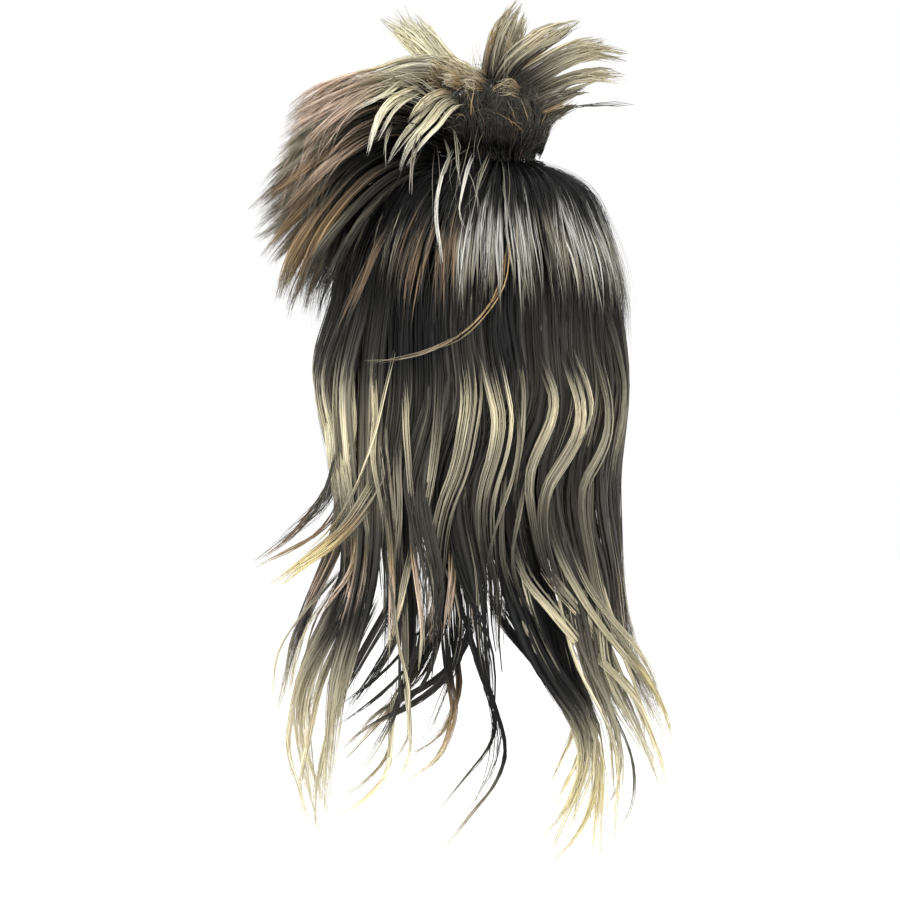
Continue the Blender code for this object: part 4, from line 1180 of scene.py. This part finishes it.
# long single hairs that curve over the ear
arcs = (
    ("arc", 0.5, 4, [
        (23, -86, -49), (18, -84, -82), (-2, -84, -106), (-29, -84, -122), (-69, -76, -132)]),
    ("arc", 0.3, 3, [
        (22, -88, -56), (13, -88, -89), (-11, -87, -114), (-41, -83, -127), (-81, -70, -130)]),
    ("arc", 0.3, 2, [(26, -88, -46), (20, -88, -83), (5, -88, -104), (-14, -88, -118), (-32, -86, -122)]),
)
pointLook = {
    "byDrop": False,
    "perWisp": 6,
    "soft": True,
    "strand": 0.0010,
    "stray": 0.0009,
    "step": 0.010,
    "shortest": 0.72,
    "startSpread": 0.12,
    "root": 0.2,
    "gather": 0.7,
    "widths": (0.9, 1.1, 0.8, 0.15),
    "tip": 0.08,
}
for side in (-1, 1):
    for chart, width, count, guide in points:
        knots = np.array(guide, float) / 1000 * np.array([1, -side, 1])
        look = {**pointLook, "count": count, "chart": chart}
        growLock(batch, knots, fixedWay(0, side, 0.2), width / 1000, 0.004, look)
strandMesh("crown_tuft_strands", batch, streakedHair, ["crown_tuft"])


# Fringe layers from the top down. The last one only says where the lowest layer ends
fringeLayers = (
    # name, spread in degrees, depth, (rootUp, archOut, archUp, fallOut, fallUp, tipOut, tipUp), charts
    ("fringe_upper", 17, 1.1, (0.36, 0.60, 0.52, 0.86, 0.42, 0.98, 0.20), "fringeTopDark", "fringeTop"),
    ("fringe_middle", 16, 1.2, (0.28, 0.66, 0.33, 0.94, 0.10, 1.09, -0.34), "fringeDark", "fringeMid"),
    ("fringe_lower", 15, 1.8, (0.13, 0.64, 0.13, 0.93, -0.14, 1.00, -0.64), "fringeDark", "fringeLow"),
    ("", 15, 1.0, (0.06, 0.56, 0.02, 0.80, -0.20, 0.88, -0.50), "fringeDark", "fringeDark"),
)
fringeLocks = ((-2, 0.96, 0.95), (-1, 0.98, 1.12), (0, 1.00, 0.94), (1, 1.00, 1.06), (2, 0.98, 0.90))
fringe = {
    "rows": (0, 0.33, 0.66),  # on the way from one layer to the next
    "halves": (-0.25, 0.25),
    "rootOut": 0.030,
    "rootSink": 0.04,
    "tipShort": 0.97,  # these tips stay behind the wisps
    "tipRise": 0.9,
    "across": 0.13,
    "depth": 0.006,
    "strands": ((4, 0.0024, 0.25, 2), (6, 0.0007, 0.6, 3)),  # count, width, flatness, in a wisp
    "middle": (0.03, 0, -0.08),
    "copies": (-1, -0.7, -0.35, 0.35, 0.7, 1),  # share of a wisp's own depth, near side first
    "copySway": (0.003, 0.004),
    "copyStrands": ((0.55, 0.0020, 0.28, 4), (0.95, 0.0007, 0.6, 7)),  # share of the count, then as above
}
fringeLook = {
    "lightShare": 0.75,
    "byDrop": False,
    "widths": (0.5, 0.9, 1.1, 0.35),
    "shortest": 0.66,
    "startSpread": 0.06,
    "step": 0.0140,
    "stray": 0.0026,
    "gather": 0.8,
    "tip": 0.08,
}


# Wisps seen on the fringe's near side: chart, half width in mm, strands, guide in mm
fringeWisps = {
    "fringe_upper": (
        ("sweepBlonde", 6.0, 22, [
            (-18, -8, 79), (-42, -24, 82), (-67, -36, 73), (-94, -44, 64), (-114, -44, 55),
            (-128, -40, 42)]),
        ("sweepBlonde", 6.7, 24, [
            (-18, -16, 72), (-43, -34, 73), (-68, -49, 63), (-93, -57, 51), (-113, -56, 43),
            (-129, -50, 31)]),
        ("sweepPink", 6.0, 22, [
            (-20, -24, 66), (-46, -42, 65), (-71, -56, 54), (-94, -64, 42), (-113, -60, 33),
            (-131, -52, 21)]),
        ("sweepOlive", 4.0, 14, [
            (-22, -28, 60), (-51, -46, 56), (-78, -60, 45), (-99, -66, 35), (-117, -62, 25),
            (-132, -54, 12)]),
        ("sweepPink", 4.0, 14, [
            (-29, -30, 67), (-55, -52, 60), (-75, -68, 48), (-90, -76, 37), (-104, -76, 25),
            (-116, -72, 11)]),
    ),
    "fringe_middle": (
        ("sweepOlive", 4.7, 16, [
            (-25, -22, 55), (-55, -40, 49), (-82, -54, 38), (-105, -60, 25), (-122, -56, 15),
            (-137, -46, 3)]),
        ("sweepOlive", 6.0, 20, [
            (-25, -18, 49), (-55, -35, 43), (-83, -48, 31), (-109, -52, 15), (-128, -47, 1),
            (-147, -36, -17)]),
        ("sweepBrown", 6.0, 20, [
            (-25, -24, 43), (-55, -42, 36), (-83, -56, 22), (-108, -60, 5), (-130, -53, -11),
            (-149, -40, -27)]),
        ("sweepPink2", 5.4, 18, [
            (-25, -30, 37), (-53, -50, 29), (-79, -66, 14), (-101, -72, -1), (-119, -67, -19),
            (-139, -56, -37)]),
        ("sweepOlive", 4.7, 16, [
            (-25, -20, 35), (-54, -38, 28), (-81, -52, 14), (-106, -56, -3), (-128, -48, -22),
            (-151, -34, -39)]),
    ),
    "fringe_lower": (
        ("sweepGold", 6.7, 22, [
            (-25, -22, 29), (-55, -41, 22), (-82, -56, 8), (-105, -62, -13), (-125, -54, -34),
            (-145, -40, -58)]),
        ("sweepGold", 6.7, 24, [
            (-25, -26, 21), (-54, -43, 15), (-79, -60, 0), (-100, -66, -24), (-116, -72, -47),
            (-128, -61, -69), (-133, -50, -89)]),
        ("sweepBrown", 5.0, 18, [
            (-25, -30, 14), (-51, -48, 8), (-73, -66, -6), (-91, -73, -27), (-105, -80, -49),
            (-115, -73, -70), (-120, -66, -91)]),
        ("sweepAsh", 3.4, 11, [
            (-25, -34, 8), (-47, -52, 2), (-66, -70, -12), (-82, -77, -29), (-97, -84, -48),
            (-109, -82, -68), (-114, -80, -89)]),
        ("sweepAsh", 3.0, 8, [
            (-26, -36, 4), (-45, -56, -2), (-62, -70, -16), (-78, -77, -36), (-91, -78, -57),
            (-100, -76, -79)]),
    ),
}
wispLook = {
    "byDrop": False,
    "widths": (0.8, 1.0, 0.9, 0.10),
    "shortest": 0.90,
    "startSpread": 0.05,
    "step": 0.0140,
    "stray": 0.0015,
    "gather": 0.7,
    "thinsAt": 0.75,
    "tip": 0.12,
}


def fringeFan(batch, table):
    # the wisps as seen, four times nearer the middle, and on the far side
    alongSway, upSway = fringe["copySway"]
    for side in fringe["copies"]:
        for chart, width, count, guide in table:
            knots = np.array(guide, float) / 1000 * np.array([1, -side, 1])
            if side != -1:
                knots[:, 0] += chance.normal(-0.001, alongSway) * np.linspace(0, 1, len(knots))
                knots[:, 2] += chance.normal(0, upSway) * np.linspace(0, 1, len(knots))
            for share, strand, flat, perWisp in fringe["copyStrands"]:
                look = {**wispLook, "chart": chart, "strand": strand, "flat": flat, "perWisp": perWisp}
                look["count"] = max(3, round(share * count))
                growLock(batch, knots, awayFromBrow, width / 1000, 0.004, look)


def awayFromBrow(guide):
    return unit(guide - np.array(fringe["middle"]))


for layer, below in zip(fringeLayers, fringeLayers[1:]):
    name, spread, hair, upper, chart, light = layer
    width, depth = radians(spread) * fringe["across"] / 4, hair * fringe["depth"] * 0.6
    batch = []
    reach, height = tuft["reach"], tuft["height"]
    for part in fringe["rows"]:
        shares = (1 - part) * np.array(upper) + part * np.array(below[3])
        rootUp, archOut, archUp, fallOut, fallUp, tipOut, tipUp = shares
        for place, far, fall in fringeLocks:
            for half in fringe["halves"]:
                turn = (place + half) * spread
                knots = [
                    knotPoint(turn, fringe["rootOut"], (rootUp - fringe["rootSink"]) * height),
                    knotPoint(turn, archOut * reach, archUp * height),
                    knotPoint(turn, fallOut * reach * far, fallUp * height),
                    knotPoint(
                        turn,
                        fringe["tipShort"] * tipOut * reach * far,
                        fringe["tipRise"] * tipUp * height * fall,
                    ),
                ]
                for count, strand, flat, perWisp in fringe["strands"]:
                    look = {**fringeLook, "chart": chart, "light": light, "count": count}
                    look = {**look, "strand": strand, "flat": flat, "perWisp": perWisp}
                    growLock(batch, knots, awayFromBrow, width, depth, look)
    fringeFan(batch, fringeWisps[name])
    strandMesh(f"{name}_strands", batch, streakedHair, [name])


# Flicked locks beside the face: chart, half width in mm, strands, guide in mm
flicks = (
    ("flick", 1.3, 9, [
        (-94, -52, -182), (-97, -53, -199), (-98, -54, -209), (-110, -54, -229), (-128, -55, -251),
        (-149, -56, -266)]),
    ("flick", 1.0, 6, [
        (-91, -56, -216), (-96, -57, -234), (-113, -58, -251), (-138, -59, -264), (-150, -60, -270)]),
    ("flickGold", 4.4, 30, [
        (-64, -74, -202), (-75, -71, -224), (-85, -68, -239), (-102, -64, -254), (-117, -61, -265),
        (-139, -58, -282)]),
    ("flickGold", 2.0, 10, [
        (-68, -72, -223), (-83, -69, -243), (-98, -66, -258), (-117, -63, -271), (-137, -60, -288)]),
)
for sideName, side in (("near", -1), ("far", 1)):
    batch = []
    growTable(batch, flicks, side, tailLook, 0.002)
    growTable(batch, arcs, side, {**tailLook, "strand": 0.0006, "perWisp": 3}, 0.003)
    replaced = [f"cheek_flick_{sideName}", f"jaw_flick_{sideName}"]
    strandMesh(f"face_flicks_{sideName}", batch, streakedHair, replaced)


# Studio: floor, camera distance and the middle of the photo on the wig, metres
studio = {
    "floor": -0.53,
    "size": 6.0,
    "lens": 100,
    "distance": 1.75,
    "middle": (-0.0154, -0.189),
    "lights": (  # name, place, aim, size, power
        ("keyLight", (-0.9, -1.9, 1.5), (-0.05, 0, -0.1), 1.2, 22),
        ("backLight", (1.3, 1.6, 1.3), (0, 0, -0.1), 1.4, 16),
    ),
}


def makeStudio():
    bm = bmesh.new()
    bmesh.ops.create_circle(bm, cap_ends=True, segments=96, radius=studio["size"])
    bmesh.ops.translate(bm, vec=(0, 0, studio["floor"]), verts=bm.verts)
    mesh = bpy.data.meshes.new("floor")
    bm.to_mesh(mesh)
    bm.free()
    floor = bpy.data.objects.new("floor", mesh)
    bpy.context.collection.objects.link(floor)
    made, _, shader = newMaterial("paleFloor")
    shader.inputs["Base Color"].default_value = (0.93, 0.93, 0.93, 1)
    shader.inputs["Roughness"].default_value = 0.9
    shader.inputs["Emission Color"].default_value = (1, 1, 1, 1)
    shader.inputs["Emission Strength"].default_value = 0.15
    mesh.materials.append(made)

    world = bpy.data.worlds.new("studio")
    world.use_nodes = True
    world.node_tree.nodes["Background"].inputs["Color"].default_value = (1, 1, 1, 1)
    world.node_tree.nodes["Background"].inputs["Strength"].default_value = 1.0
    bpy.context.scene.world = world

    for name, place, aim, size, power in studio["lights"]:
        light = bpy.data.lights.new(name, "AREA")
        light.size = size
        light.energy = power
        lamp = bpy.data.objects.new(name, light)
        lamp.location = place
        way = np.array(aim) - np.array(place)
        lamp.rotation_euler = (acos(-way[2] / np.linalg.norm(way)), 0, np.arctan2(way[1], way[0]) - pi / 2)
        bpy.context.collection.objects.link(lamp)

    camera = bpy.data.objects.new("camera", bpy.data.cameras.new("camera"))
    camera.data.lens = studio["lens"]
    camera.data.clip_end = 30
    camera.location = (studio["middle"][0], -studio["distance"], studio["middle"][1])
    camera.rotation_euler = (radians(90), 0, 0)
    bpy.context.collection.objects.link(camera)
    bpy.context.scene.camera = camera
    bpy.context.scene.view_settings.view_transform = "Standard"


makeStudio()
print("studio ready")
